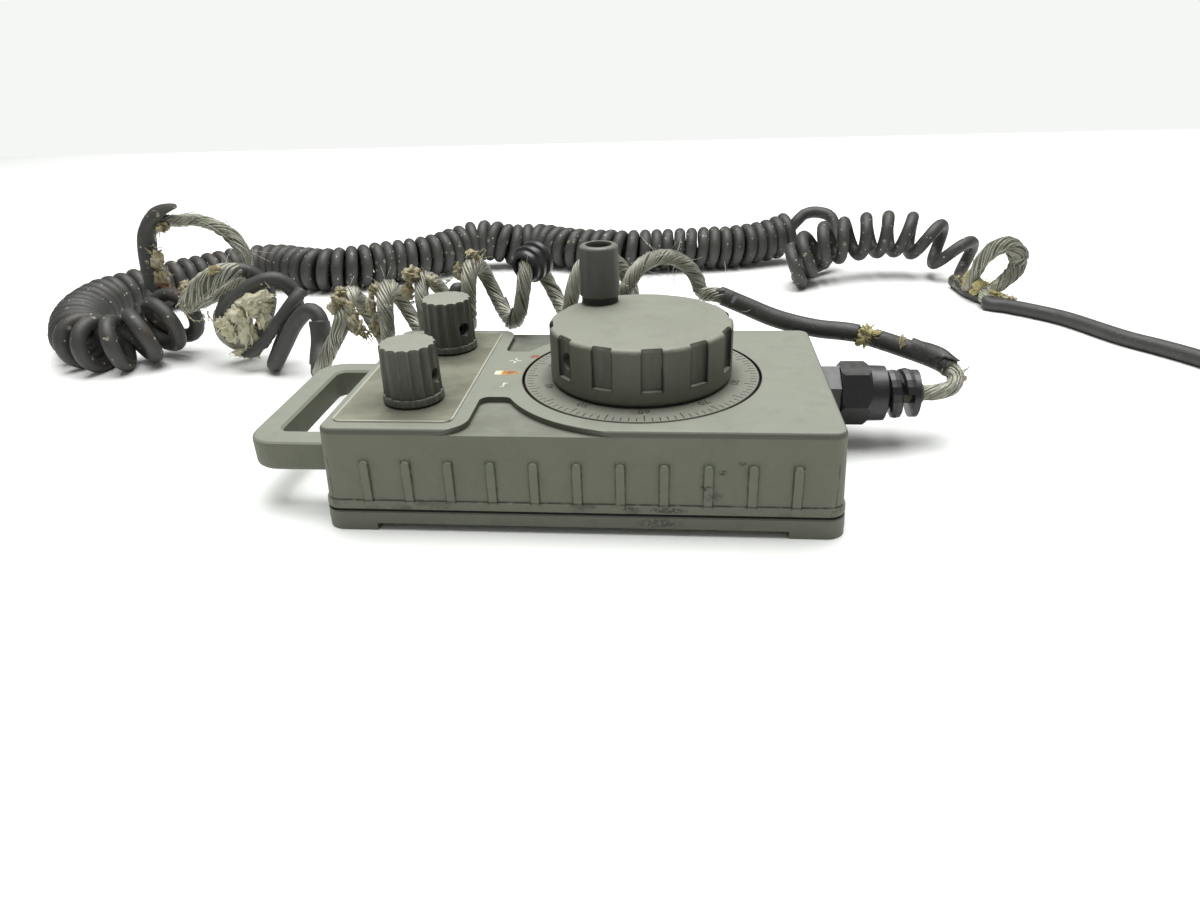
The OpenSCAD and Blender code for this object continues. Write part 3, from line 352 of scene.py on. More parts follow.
class Paint:
    def __init__(self, name):
        self.material = bpy.data.materials.new(name)
        self.material.use_nodes = True
        self.tree = self.material.node_tree
        self.surface = self.tree.nodes["Principled BSDF"]
        self.where = self.put("ShaderNodeVectorMath", {"operation": "SCALE"}, {
            0: self.put("ShaderNodeTexCoord", {}, {}, "Object"), "Scale": 1000.0})
        self.xyz = [self.put("ShaderNodeSeparateXYZ", {}, {0: self.where}, k) for k in range(3)]

    def set(self, socket, value):
        if isinstance(value, Wire):
            self.tree.links.new(value.socket, socket)
        elif isinstance(value, tuple) and len(value) == 3 and socket.type == "RGBA":
            socket.default_value = (*value, 1.0)
        else:
            socket.default_value = value

    def put(self, kind, settings, values, output=0):
        node = self.tree.nodes.new(kind)
        for key, value in settings.items():
            setattr(node, key, value)
        for key, value in values.items():
            self.set(node.inputs[key], value)
        return Wire(self, node.outputs[output])

    def scaled(self, factors, place=None):
        """Object coordinates, or another place, times a factor along each axis."""
        return self.put("ShaderNodeVectorMath", {"operation": "MULTIPLY"}, {0: place or self.where, 1: factors})

    def shifted(self, shift, place=None):
        """Object coordinates, or another place, plus one amount along all axes."""
        return self.put("ShaderNodeVectorMath", {"operation": "ADD"}, {0: place or self.where, 1: (shift,) * 3})

    def upward(self):
        """How far the surface looks up: 1 on a level top, 0 on a wall."""
        return self.put("ShaderNodeSeparateXYZ", {}, {0: self.put("ShaderNodeNewGeometry", {}, {}, "Normal")}, 2)

    def noise(self, size, detail=2.0, at=None, shift=0.0):
        """Cloudy value from 0 to 1 with features of the given size in millimetres."""
        return self.put("ShaderNodeTexNoise", {}, {
            "Vector": self.shifted(shift, at), "Scale": 1.0 / size, "Detail": detail, "Roughness": 0.55})

    def specks(self, cell, radius, share, shift=0.0):
        """Small round spots: in some of the cells of a jittered lattice, 1 within a radius of its point."""
        colour = self.put("ShaderNodeTexVoronoi", {}, {"Vector": self.shifted(shift), "Scale": 1.0 / cell}, "Color")
        distance = Wire(self, colour.socket.node.outputs["Distance"])
        pick = self.put("ShaderNodeSeparateColor", {}, {0: colour})
        inside = (pick * (1.0 / share) * radius / cell - distance).over(0, 0.3 * radius / cell)
        return inside * (1 - pick.over(share, 0.01))

    def mix(self, share, a, b):
        """Colour a where share is 0, b where it is 1."""
        return self.put("ShaderNodeMix", {"data_type": "RGBA"}, {0: share, 6: a, 7: b}, 2)

    def layers(self, tone, *coats):
        """A colour with coats over it, each given as a share and a colour."""
        for share, coat in coats:
            tone = self.mix(share, tone, coat)
        return tone

    def bump(self, height, depth):
        """Normal from a height in millimetres times depth."""
        return self.put("ShaderNodeBump", {}, {"Height": height, "Strength": 1.0, "Distance": 0.001 * depth})

    def finish(self, colour, rough=0.5, metal=0.0, normal=None, gloss=0.5):
        self.set(self.surface.inputs["Base Color"], colour)
        self.set(self.surface.inputs["Roughness"], rough)
        self.set(self.surface.inputs["Metallic"], metal)
        self.surface.inputs["Specular IOR Level"].default_value = gloss
        if normal:
            self.set(self.surface.inputs["Normal"], normal)
        return self.material


def dress(node, material):
    """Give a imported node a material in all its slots."""
    for slot in bpy.data.objects[node].material_slots:
        slot.material = material


# Jacket: finer hoops near each torn edge, and an edge that wanders round the cable.
fine = np.concatenate([np.linspace(e - 0.004, e + 0.004, 21) for ends in STRIPPED for e in ends if e > 0])
mesh_s = np.unique(np.round(np.concatenate([cable_s, fine]), 6))
mesh_line = at_run(cable, mesh_s)
ROUND = 14
around = 2 * math.pi * np.arange(ROUND) / ROUND
open_share = np.zeros((len(mesh_s), ROUND))
for n, (a, b) in enumerate(STRIPPED):
    start = a + (0.0016 * wobble(2 * np.cos(around) + 3 * np.sin(around), 40 + n) if a > 0 else -0.01)
    stop = b + 0.0016 * wobble(2 * np.cos(around) - 3 * np.sin(around), 60 + n)
    open_share = np.maximum(open_share, ((mesh_s[:, None] > start) & (mesh_s[:, None] < stop)).astype(float))
jacket_r = CABLE_R * (1 + 0.02 * wobble(mesh_s * 60, 12))
radii = jacket_r[:, None] * (1 - open_share) + CORE_R * loosened(mesh_s)[:, None] * open_share
cord = grid_mesh("cable_jacket", hoops(mesh_line, ref_along(mesh_s), radii, ROUND), open_share)

paint = Paint("cable_jacket")
x, y, z = paint.xyz
pale_patches = paint.noise(9, 3).over(0.62, 0.25) * 0.5
brown = paint.noise(14, 2, shift=60).over(0.62, 0.2) * x.over(-190, -30)
colour = paint.mix(pale_patches * 0.5, (0.036, 0.036, 0.033), (0.09, 0.088, 0.074))
colour = paint.mix(brown * 0.3, colour, (0.085, 0.05, 0.028))
coiled = (y.over(207, 6) + 1 - x.over(-200, 10)).maths("MINIMUM", 1.0) * 0.7 + 0.1
colour = paint.layers(
    colour,
    (paint.specks(1.9, 0.5, 0.3) * coiled, (0.5, 0.46, 0.34)),
    (paint.specks(4, 1.3, 0.35, shift=77) * paint.noise(0.6, 3, shift=21).over(0.48, 0.1) * coiled,
     (0.34, 0.31, 0.22)),
    (paint.specks(1.3, 0.22, 0.22, shift=31) * 0.5, (0.12, 0.09, 0.06)))
jacket = paint.finish(colour, paint.noise(5, 2, shift=9) * 0.25 + 0.42, normal=paint.bump(paint.noise(0.8, 2), 0.1))

paint = Paint("cable_core")
core = paint.finish(paint.mix(paint.noise(2.5, 3), (0.035, 0.036, 0.025), (0.14, 0.14, 0.1)), 0.8)
cord.data.materials.append(jacket)
cord.data.materials.append(core)

# Screen: loose strands of fine wires laid round the core, wandering and spread where it is frayed.
STRANDS = 17
STRAND_R = 0.00056
LAY = 0.03


def wavering(s, rate, first, step):
    """A wobble for each strand, the seeds a step apart."""
    return np.array([wobble(s * rate, first + step * k) for k in range(STRANDS)])


braid_grids = []
for a, b in STRIPPED:
    pieces = max(1, int((b - a) / 0.05))
    for k in range(pieces):
        lo, hi = a + (b - a) * k / pieces - 0.0015, a + (b - a) * (k + 1) / pieces + 0.0015
        s = np.linspace(max(lo, 0), hi, 48)
        centre = at_run(cable, s)
        side, over = across(centre, ref_along(s))
        angle = 2 * math.pi * (np.arange(STRANDS)[:, None] / STRANDS + s / LAY) + 0.3 * wavering(s, 110, 100, 7)
        away = (CORE_R - 0.0001) * loosened(s) * (1 + 0.1 * wavering(s, 170, 300, 5) * loosened(s))
        lines = centre + (away * np.cos(angle))[..., None] * side + (away * np.sin(angle))[..., None] * over
        thick = STRAND_R * (1 + 0.25 * wavering(s, 210, 500, 3))
        braid_grids.append(hoops(lines, side, thick, 6))
braid = grid_mesh("cable_screen", np.concatenate(braid_grids))
paint = Paint("cable_screen")
uv = paint.put("ShaderNodeUVMap", {"uv_map": "along"}, {})
wires = paint.scaled((9.0, 5.0, 0.0), uv)
fibre = paint.noise(1.0, 3, at=wires)
grime = paint.noise(6, 3).over(0.5, 0.3)
colour = paint.mix(fibre.over(0.5, 0.3), (0.07, 0.07, 0.052), (0.56, 0.56, 0.48))
colour = paint.layers(
    colour,
    (grime * 0.45, (0.15, 0.14, 0.09)),
    (paint.noise(4, 1, shift=80).over(0.7, 0.04) * 0.4, (0.14, 0.26, 0.08)),
    (paint.noise(4, 1, shift=95).over(0.72, 0.04) * 0.4, (0.16, 0.08, 0.16)),
    (paint.specks(2.5, 0.5, 0.25, shift=12) * 0.6, (0.45, 0.38, 0.22)))
braid.data.materials.append(paint.finish(colour, 0.5, metal=0.35, normal=paint.bump(fibre, 0.12)))
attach(braid, "case")

# Two of the insulated cores show beside the screen in the spiral's lowest turn.
for n, (shift, tint) in enumerate([(0.2, (0.06, 0.3, 0.05)), (0.9, (0.1, 0.02, 0.12))]):
    s = np.linspace(run_near(-36, 42, 40), run_near(-47, 58, 44), 60)
    centre = at_run(cable, s)
    side, over = across(centre, np.array([-1.0, 0, 0]))
    angle = shift + 2 * math.pi * s / 0.05 + 3.4
    line = centre + 0.0031 * (np.cos(angle)[:, None] * side + np.sin(angle)[:, None] * over)
    wire = grid_mesh(f"inner_core_{n + 1}", hoops(line, side, 0.00042, 8))
    paint = Paint(wire.name)
    wire.data.materials.append(paint.finish(paint.mix(paint.noise(1.5), tint, (0.1, 0.1, 0.08)), 0.45))
    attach(wire, "case")

# Broken wires: hair-thin curves that leave the screen and bend over.
HAIRS = [((-203, 125, 62), 16, 26), ((-190, 124, 57), 16, 22), ((206, 190, 24), 9, 30), ((202, 191, 30), 10, 26),
         ((-36, 43, 50), 12, 10), ((20, 45, 58), 14, 14), ((-90, 59, 46), 7, 20), ((-108, 60, 43), 7, 22),
         ((-190, 99, 39), 8, 24), ((125, 26, 24), 12, 14), ((46, 53, 45), 18, 6)]
rng = np.random.default_rng(21)
starts, reach = [], []
for place, length, count in HAIRS:
    starts.append(at_run(cable, run_near(*place) + rng.uniform(-0.012, 0.012, count)))
    reach.append(length / 1000 * rng.uniform(0.4, 1.2, count))
starts, reach = np.vstack(starts), np.concatenate(reach)[:, None, None]
out = unit(rng.normal(size=starts.shape) + [0, 0, 0.3])
sweep = unit(rng.normal(size=starts.shape))
t = np.linspace(0, 1, 12)[None, :, None]
lines = starts[:, None] + out[:, None] * (0.001 + 0.6 * reach * t) + sweep[:, None] * 0.6 * reach * t**2
lines[..., 2] = np.maximum(lines[..., 2], 0.0004)
free_ends = hoops(lines, unit(np.cross(out, sweep))[:, None], 0.00007, 4)
# Stray wires: they leave the screen, run along beside it and come back.
STRAYS = [((-188, 124, 57), 0.03, 0.008, 8), ((-205, 125, 62), 0.024, 0.004, 10),
          ((204, 190, 24), 0.024, 0.0045, 46), ((192, 191, 30), 0.026, 0.004, 30), ((36, 60, 46), 0.03, 0.01, 2),
          ((16, 55, 60), 0.02, 0.003, 8), ((-36, 42, 48), 0.02, 0.0025, 8), ((-192, 99, 39), 0.018, 0.005, 30),
          ((-205, 110, 26), 0.016, 0.004, 20)]
t = np.linspace(0, 1, 24)
for place, span, away, count in STRAYS:
    s = run_near(*place) + rng.uniform(-0.3, 0.3, (count, 1)) * span + span * (t[None] - 0.5)
    aside = unit(rng.normal(size=(count, 3)))[:, None]
    arch = away * rng.uniform(0.5, 1.1, (count, 1)) * np.sin(math.pi * t)
    lines = at_run(cable, s) + aside * arch[..., None] + unit(rng.normal(size=(count, 3)))[:, None] * CORE_R
    lines[..., 2] = np.maximum(lines[..., 2], 0.0004)
    ref = unit(np.cross(lines[:, 4] - lines[:, 0], rng.normal(size=(count, 3))))[:, None]
    free_ends = np.concatenate([free_ends, hoops(lines, ref, 0.0001, 4)[:, ::2]])
hairs = grid_mesh("broken_wires", free_ends)
paint = Paint("broken_wires")
colour = paint.mix(paint.noise(3), (0.35, 0.36, 0.3), (0.6, 0.6, 0.52))
hairs.data.materials.append(paint.finish(colour, 0.4, metal=0.4))
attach(hairs, "case")

# Felted filler: lumps of cotton and paper, each an ellipsoid whose radius varies with a sum of sines of
# rising frequency in random directions, so that its skin is creased and tattered.
LUMPS = [((-166, 91, 31), (6, 2.6, 4)), ((-175, 90, 27), (6, 2.6, 4.5)), ((-179, 89, 18), (3.6, 2.4, 5)),
         ((-171, 89, 18), (3.2, 2.2, 6)), ((-164, 91, 24), (2.4, 2, 5)), ((-173, 88, 9), (5, 2.2, 1.6)),
         ((-182, 89, 23), (3, 2, 2.5)), ((-160, 92, 34), (4, 2, 2)), ((-112, 57, 42), (3.2, 3, 3)),
         ((-108, 56.5, 37), (3.4, 3, 4)), ((-104.5, 56, 31), (2.8, 2.8, 4)), ((-111, 58, 46), (2, 2, 1.6)),
         ((-96, 58, 46.5), (2.4, 2.6, 2.2)), ((-98, 56, 40), (2, 2.4, 4)), ((-96.5, 55, 33), (1.8, 2.2, 3.4)),
         ((-79, 55, 53.5), (2.6, 2.6, 2.2)), ((-81, 54, 47), (2, 2.2, 3)), ((-71, 55, 51), (1.8, 1.8, 2)),
         ((-54, 55, 61), (2.8, 2.2, 1.4)), ((-59, 50, 56), (1.5, 1.8, 2.6)), ((94.6, 40.3, 33.6), (2.4, 3.2, 3.2)),
         ((97.5, 38, 34.6), (2.6, 1.4, 1.4)), ((107, 35, 32.8), (0.9, 2.4, 2)),
         ((127, 26.5, 22.5), (1.3, 1.2, 1.2)), ((184, 199, 10), (3.4, 2.6, 4)), ((187, 191, 8), (4.5, 2.6, 2.8)),
         ((192, 184, 6), (5, 2.4, 2.2)), ((197, 178, 5.6), (3.5, 2.2, 1.6)), ((-226, 119, 44), (2.2, 2, 4)),
         ((-227, 119, 35), (2.6, 2.2, 4)), ((-225, 117, 28), (5, 2.6, 3)), ((-217, 113, 28), (4.5, 2.6, 2.6)),
         ((-221, 122, 59.5), (3, 2.2, 2)), ((-208, 108, 33), (3, 2.4, 3)), ((-185, 97, 45), (3, 2, 1.6))]
rng = np.random.default_rng(33)
lat, lon = np.meshgrid(np.linspace(0.05, math.pi - 0.05, 30), np.linspace(0, 2 * math.pi, 42)[:-1], indexing="ij")
ball = np.stack([np.sin(lat) * np.cos(lon), -np.sin(lat) * np.sin(lon), -np.cos(lat)], axis=-1)
grids = []
for place, size in LUMPS:
    crease = np.zeros(lat.shape)
    for k in range(14):
        wave = rng.normal(size=3) * (1.6 + 0.8 * k)
        crease += np.sin(ball @ wave + rng.uniform(0, 6.28)) * 0.34 / (1 + 0.22 * k)
    crease = np.where(crease > 0, 0.7 * crease, crease * 0.5)
    grids.append((np.array(place) + ball * np.array(size) * (1 + crease)[..., None]) / 1000)
lumps = np.array(grids)
lumps[..., 2] = np.maximum(lumps[..., 2], 0.0003)
felt = grid_mesh("cable_felt", lumps)
# Tufts: strips that hang out of the tears, each tuft a bunch of curling ribbons.
TUFTS = [((-172, 91, 30), 24, 15, 2.6, (0, -0.5, -1)), ((-164, 92, 32), 15, 12, 2.2, (-0.3, -0.6, -0.8)),
         ((-178, 90, 22), 18, 10, 2, (-0.4, -0.5, -0.6)), ((-160, 92, 37), 7, 5, 1.2, (0.3, -0.6, 0.4)),
         ((-172, 88, 8), 14, 8, 1.2, (-0.6, -0.5, -0.2)), ((-112, 58, 41), 24, 5, 2, (-0.2, -0.4, 0.7)),
         ((-107, 58, 37), 26, 5, 2.2, (0.5, -0.5, 0.1)), ((-103, 57, 30), 24, 5, 2, (0.5, -0.5, -0.4)),
         ((-95, 60, 45), 20, 4.5, 1.8, (-0.3, -0.4, 0.4)), ((-95, 58, 36), 20, 4.5, 1.8, (-0.5, -0.5, -0.2)),
         ((-77, 57, 52), 15, 4.5, 1.8, (-0.2, -0.4, 0.5)), ((-80, 56, 44), 12, 4, 1.5, (-0.7, -0.4, -0.2)),
         ((-68, 57, 50), 9, 5, 1, (0.8, -0.2, 0.4)), ((-52, 54, 61), 13, 4.5, 1.8, (0.3, -0.4, 0.4)),
         ((-57, 50, 57), 8, 4, 1.2, (-0.6, -0.4, 0.1)), ((45, 53, 46), 7, 6, 0.6, (-0.6, -0.2, 0.9)),
         ((93, 39, 36), 7, 3, 1.4, (0.4, -0.8, -0.3)), ((96, 37, 35), 7, 4, 1.2, (0.6, -0.6, 0)),
         ((106, 34, 32.5), 6, 3, 1, (0.3, -0.6, 0.6)), ((126, 26, 23), 9, 4, 0.9, (0.9, -0.1, 0.2)),
         ((183, 200, 10), 24, 6, 1.6, (0.3, -0.5, 0.4)), ((187, 188, 8), 21, 9, 1.6, (0.8, -0.6, 0.2)),
         ((180, 206, 8), 12, 6, 1.4, (-0.4, -0.7, 0.2)), ((194, 180, 5), 14, 8, 1.6, (0.8, -0.3, 0.3)),
         ((-224, 117, 27), 24, 8, 1.6, (0.5, -0.6, 0.1)), ((-214, 112, 28), 20, 7, 1.4, (0.4, -0.6, 0.4)),
         ((-227, 120, 48), 18, 6, 1.6, (0.9, -0.4, -0.2)), ((-225, 121, 38), 15, 6, 1.4, (0.6, -0.6, -0.2)),
         ((-222, 123, 60), 10, 5, 1.6, (0.8, -0.3, -0.2)), ((-186, 98, 44), 12, 5, 1.6, (-0.3, -0.4, 0.8)),
         ((-202, 94, 28), 15, 7, 1.2, (0.5, -0.4, -0.7)), ((-192, 94, 24), 12, 7, 1, (0.3, -0.4, -0.8))]
anchors, lengths, widths, ways = [], [], [], []
for place, count, length, width, way in TUFTS:
    anchors.append(np.array(place) / 1000 + rng.normal(scale=0.0014, size=(count, 3)))
    lengths.append(length / 1000 * rng.uniform(0.3, 0.95, count))
    widths.append(width / 1000 * rng.uniform(0.15, 0.8, count))
    ways.append(unit(np.array(way)) + rng.normal(scale=0.55, size=(count, 3)))
anchors, ways = np.vstack(anchors)[:, None], unit(np.vstack(ways))[:, None]
lengths, widths = np.concatenate(lengths)[:, None, None], np.concatenate(widths)[:, None]
bend = unit(rng.normal(size=(len(ways), 3)))[:, None]
t = np.linspace(0, 1, 14)
curl = np.array([[wobble(t * 5, 900 + 3 * q + k, 4) for k in range(3)] for q in range(len(ways))])
taper = widths / 2 * (1 - 0.7 * t**2)
t = t[:, None]
lines = anchors + (ways * t + 0.35 * bend * t**2 + 0.16 * curl.transpose(0, 2, 1) * t) * lengths
lines[..., 2] = np.maximum(lines[..., 2], 0.0006)
tufts = grid_mesh("cable_filler", hoops(lines, bend, taper, 6, 0.16))
paint = Paint("cable_filler")
x, y, z = paint.xyz
warm = paint.noise(7, 2).over(0.5, 0.2)
colour = paint.layers(
    paint.mix(warm, (0.5, 0.48, 0.36), (0.42, 0.36, 0.2)),
    (paint.noise(2.5, 3, shift=5).over(0.55, 0.2) * 0.7, (0.13, 0.1, 0.055)),
    (x.within(-172, 13, 3) * (1 - z.over(40, 3)) * 0.6, (0.64, 0.62, 0.46)),
    ((x.within(94, 6, 2) + x.within(186, 9, 3)) * 0.6, (0.5, 0.44, 0.17)),
    (x.within(-219, 9, 3) * z.within(29, 6, 3) * paint.noise(3, 2, shift=15).over(0.45, 0.1) * 0.85,
     (0.2, 0.06, 0.015)))
cotton = paint.finish(colour, 0.9, normal=paint.bump(paint.noise(0.45, 4), 0.5))
for piece in (tufts, felt):
    piece.data.materials.append(cotton)
    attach(piece, "case")

# Torn jacket: open shells round the bare cable. Each runs along its own line; the shell's middle lies at an
# angle round it, and the half angle that it covers changes from end to end, down to a point at a torn tip.
UP_X, UP_Y, UP_Z = (1, 0, 0), (0, 1, 0), (0, 0, 1)
SHELLS = [([(-229, 122, 24), (-233, 124, 34), (-232.5, 125, 46), (-230, 125, 56), (-224, 125, 63), (-216, 124, 65),
            (-209, 122, 64.5)], UP_Y, -0.5, [2.9, 2.8, 2.3, 2.2, 2, 1.3, 0.1], 5.1),
          ([(-131, 78, 27), (-130.5, 74, 17), (-129, 66, 10), (-126, 60, 8)], UP_X, 0.4, [2.6, 2, 1.7, 0.2], 4.5),
          ([(-146, 99, 34), (-149, 94, 30), (-155, 90, 22), (-162, 88, 14), (-169, 88, 8), (-174, 89, 6)],
           UP_Y, 3.9, [1.6, 1.3, 1, 1.3, 1.2, 0.2], 4),
          ([(-183, 93, 26), (-187, 92, 21), (-189, 92, 15)], UP_Y, 0.2, [2.4, 1.3, 0.1], 3.9),
          ([(183, 222, 3.8), (184, 212, 4), (185, 203, 3.9), (188, 193, 3.9), (191, 184, 3.9), (197, 174, 3.6)],
           UP_Z, -1.4, [2.9, 2.3, 1.7, 1.6, 2, 2.9], 4.1),
          ([(189, 190, 4.5), (192, 192, 7), (190, 196, 9), (186, 198, 9)], UP_Z, -1.2, [0.9, 0.7, 0.5, 0.1], 3.8),
          ([(124, 28, 25), (121, 31.5, 27), (116, 34, 28.8), (110, 35.7, 30.3)],
           UP_Z, 1.2, [0.2, 1.5, 2.4, 2.6], 3.9),
          ([(-176, 92, 40), (-183, 89, 33), (-187, 88.5, 26), (-186, 88.5, 20)],
           UP_Y, 0.8, [0.2, 0.9, 0.7, 0.1], 4.2)]
SHELL_STEPS, SHELL_ARC = 44, 12
grids = []
for n, (route, ref, middle, halves, radius) in enumerate(SHELLS):
    line = smooth(route, 0.0003)
    line = at_run(line, np.linspace(0, run_of(line)[-1], SHELL_STEPS))
    t = np.linspace(0, 1, SHELL_STEPS)
    half = np.interp(t * (len(halves) - 1), np.arange(len(halves)), halves)
    half *= 1 + 0.09 * wobble(t * 24, 700 + n) + 0.05 * wobble(t * 61, 720 + n)
    side, over = across(line, np.array(ref, float))
    reach = np.linspace(-1, 1, SHELL_ARC)[None, :] * half[:, None] + middle
    thick = 0.0009 * np.clip(half, 0.15, 1)[:, None]
    outer = radius / 1000 * (1 + 0.05 * np.sin(3 * reach + 9 * t[:, None]))
    ring = np.concatenate([reach, reach[:, ::-1]], axis=1)
    away = np.concatenate([outer, (outer - thick)[:, ::-1]], axis=1)
    outward = np.cos(ring)[..., None] * side[:, None] + np.sin(ring)[..., None] * over[:, None]
    grids.append(line[:, None] + away[..., None] * outward)
flaps = grid_mesh("jacket_flaps", np.array(grids))
flaps.data.materials.append(jacket)
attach(flaps, "case")
# One short end of jacket still sits on the spiral, its tip rounded.
stub_line = smooth([(-63, 54, 40), (-61.8, 55.2, 45), (-60.5, 56, 50)], 0.0005)
tip = 0.0036 * np.sqrt(1 - np.linspace(0, 0.998, len(stub_line)) ** 6)
stub = grid_mesh("jacket_stub", hoops(stub_line, np.array([0.0, 1.0, 0.0]), tip, 16))
stub.data.materials.append(jacket)
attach(stub, "case")

# Grommet threaded on the bare stretch and the stub of cable in the gland.
paint = Paint("grommet_rubber")
colour = paint.mix(paint.noise(3, 2), (0.012, 0.012, 0.013), (0.03, 0.03, 0.032))
dress("cord_grommet", paint.finish(paint.mix(paint.specks(1.6, 0.25, 0.2) * 0.6, colour, (0.3, 0.3, 0.26)), 0.32))
dress("cable_entry", core)

# Tie round the stored coil: a strap drawn round the four turns, its end overlapping.
t = np.linspace(-0.25, 2 * math.pi + 0.35, 60)
square = (np.abs(np.cos(t)) ** 6 + np.abs(np.sin(t)) ** 6) ** (-1 / 6)
tie_r = (2 * CABLE_R + 0.0006) * square + 0.0011 * ease((t - 5.6) / 0.6)
tie_x, tie_z = STORED_AT[0] - STORED_R + tie_r * np.cos(t), np.maximum(2 * CABLE_R + tie_r * np.sin(t), 0.0006)
tie_line = np.stack([tie_x, np.full_like(t, STORED_AT[1]), tie_z], axis=1)
strap = hoops(tie_line, np.array([0.0, 1.0, 0.0]), STRAP_THICK, 8)
strap[..., 1] = STORED_AT[1] + (strap[..., 1] - STORED_AT[1]) * (STRAP_HALF / STRAP_THICK)
tie = grid_mesh("coil_tie", strap)
paint = Paint("coil_tie")
x, y, z = paint.xyz
weave = (y * 2.6).maths("SINE") * 0.5 + 0.5
colour = paint.mix(weave, (0.02, 0.02, 0.022), (0.045, 0.045, 0.05))
tie.data.materials.append(paint.finish(colour, 0.7, normal=paint.bump(weave, 0.15)))
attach(tie, "case")

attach(cord, "case")
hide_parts("cord_lead", "bare_coil", "torn_coil", "torn_loop", "coil_left", "coil_back", "coil_right",
            "second_coil", "coil_link", "bare_loop", "cord_tail", "stored_coil")

# --- Case and cover -----------------------------------------------------------------------------------
# Ribbed case moulded in greenish grey, matt and scuffed; its walls take a darker copy of the grey, which is painted
# shade. Painted shade darkens the edges of the ribs, the step of the band, the groove by the dial and the walls just
# under the deck; the gap over the cover is black.
DIAL_AT = 13.68
RIB_PITCH = 12.93
CASE_MIDDLE = -3.52
# The second grey, for walls, is a darker copy of the first: painted shade.
BODY_GREY, SHADED_WALL_GREY = (0.228, 0.241, 0.196), (0.138, 0.147, 0.106)


def moulded(name, top, side, wear=1.0, seed=0):
    """Moulded plastic with a spark-eroded grain: its own colour on faces that look up, on walls a darker copy
    that is painted shade, cloudy dirt, smears, dark and pale flecks. Gives the paint, colour, coordinates and grain."""
    paint = Paint(name)
    x, y, z = paint.xyz
    facing = paint.upward()
    # Painted shade: faces that look up take the top colour, walls the darker side colour.
    tone = paint.mix(facing.over(0.55, 0.6), side, top)
    tone = paint.layers(
        tone,
        (paint.noise(24, 4, shift=3 + seed).over(0.55, 0.3) * (0.12 * wear), tuple(0.55 * c for c in side)),
        (paint.noise(6, 5, shift=17 + seed).over(0.6, 0.16) * (0.1 * wear), tuple(0.45 * c for c in side)),
        (paint.noise(9, 3, shift=41 + seed).over(0.62, 0.2) * 0.08, tuple(1.25 * c for c in side)),
        (paint.specks(4.2, 0.3, 0.22, shift=5 + seed) * (0.55 * wear), (0.05, 0.045, 0.03)),
        (paint.specks(7.5, 0.26, 0.2, shift=11 + seed) * 0.5, (0.5, 0.49, 0.41)))
    return paint, tone, (x, y, z), paint.noise(0.5, 3, shift=1)


def ring_distance(x, y, at_x, at_y):
    """Distance in plan from an upright axis, in millimetres."""
    return ((x - at_x) * (x - at_x) + (y - at_y) * (y - at_y)).maths("SQRT")


def spot(u, v, at, half, soft=0.6):
    """1 inside an ellipse in the plane of two coordinates."""
    du, dv = (u - at[0]) / half[0], (v - at[1]) / half[1]
    return 1 - (du * du + dv * dv).maths("SQRT").over(1.0, soft)


paint, tone, (x, y, z), grain = moulded("case_plastic", BODY_GREY, SHADED_WALL_GREY)
ragged = paint.noise(3, 4, shift=23)
scratch = paint.noise(1.1, 4, shift=67)
front = 1 - y.over(-44, 1)
phase = ((x - CASE_MIDDLE) / RIB_PITCH + 100.5).maths("FRACT") - 0.5
# Painted shade: dark lines along the edges of the ribs on the front, broken up by ragged noise.
rib_crease_shade = (phase.maths("ABSOLUTE") * RIB_PITCH).within(1.45, 0.22, 0.35) * (1 - z.over(24, 1.5)) * z.over(9.6, 0.8)
tone = paint.mix(rib_crease_shade * front * ragged.over(0.42, 0.25) * 0.75, tone, (0.045, 0.045, 0.033))
# Painted shade: a dark line along the step of the band on the front.
band = z.within(10.35, 0.28, 0.3) * front
tone = paint.layers(
    tone,
    (band * ragged.over(0.4, 0.2) * 0.85, (0.035, 0.034, 0.025)),
    (z.within(8.8, 1.4, 0.6) * front * paint.noise(7, 4, shift=29).over(0.6, 0.12) * 0.6, (0.05, 0.047, 0.035)))
groove = ring_distance(x, y, DIAL_AT, 0)
# Painted shade in the groove round the dial.
tone = paint.mix(groove.within(39.6, 0.42, 0.18) * ragged.over(0.28, 0.15), tone, (0.02, 0.014, 0.01))
# Painted shade on the walls just under the deck, away from the groove; under it a broken dark line.
step = z.within(32.9, 0.85, 0.3) * (1 - groove.within(38, 3, 1))
tone = paint.layers(
    tone,
    (step * 0.75, (0.07, 0.072, 0.056)),
    (z.within(32.0, 0.1, 0.1) * paint.noise(8, 4, shift=51).over(0.5, 0.3) * 0.45, (0.1, 0.1, 0.078)))
SCUFFS = [((34.8, 16.4), (1.9, 0.9), 0.8), ((39.3, 21.3), (1.3, 0.8), 0.8), ((44.9, 24.3), (1.2, 0.7), 0.7),
          ((23.8, 8.8), (5, 0.9), 0.7), ((37, 13.5), (2.6, 1.6), 0.4), ((12, 9.2), (2.2, 0.8), 0.6)]
tone = paint.layers(tone, *[(spot(x, z, at, half) * front * scratch.over(0.46, 0.1) * depth, (0.022, 0.021, 0.017))
                            for at, half, depth in SCUFFS])
rust = spot(x, y, (-24.6, 15.6), (2.2, 1.6)) * paint.noise(1.2, 3, shift=61).over(0.45, 0.2)
tone = paint.mix(rust * 0.9, tone, (0.22, 0.06, 0.015))
case_paint = paint.finish(tone, ragged * 0.2 + 0.48, normal=paint.bump(grain, 0.1), gloss=0.4)
dress("upper_case", case_paint)

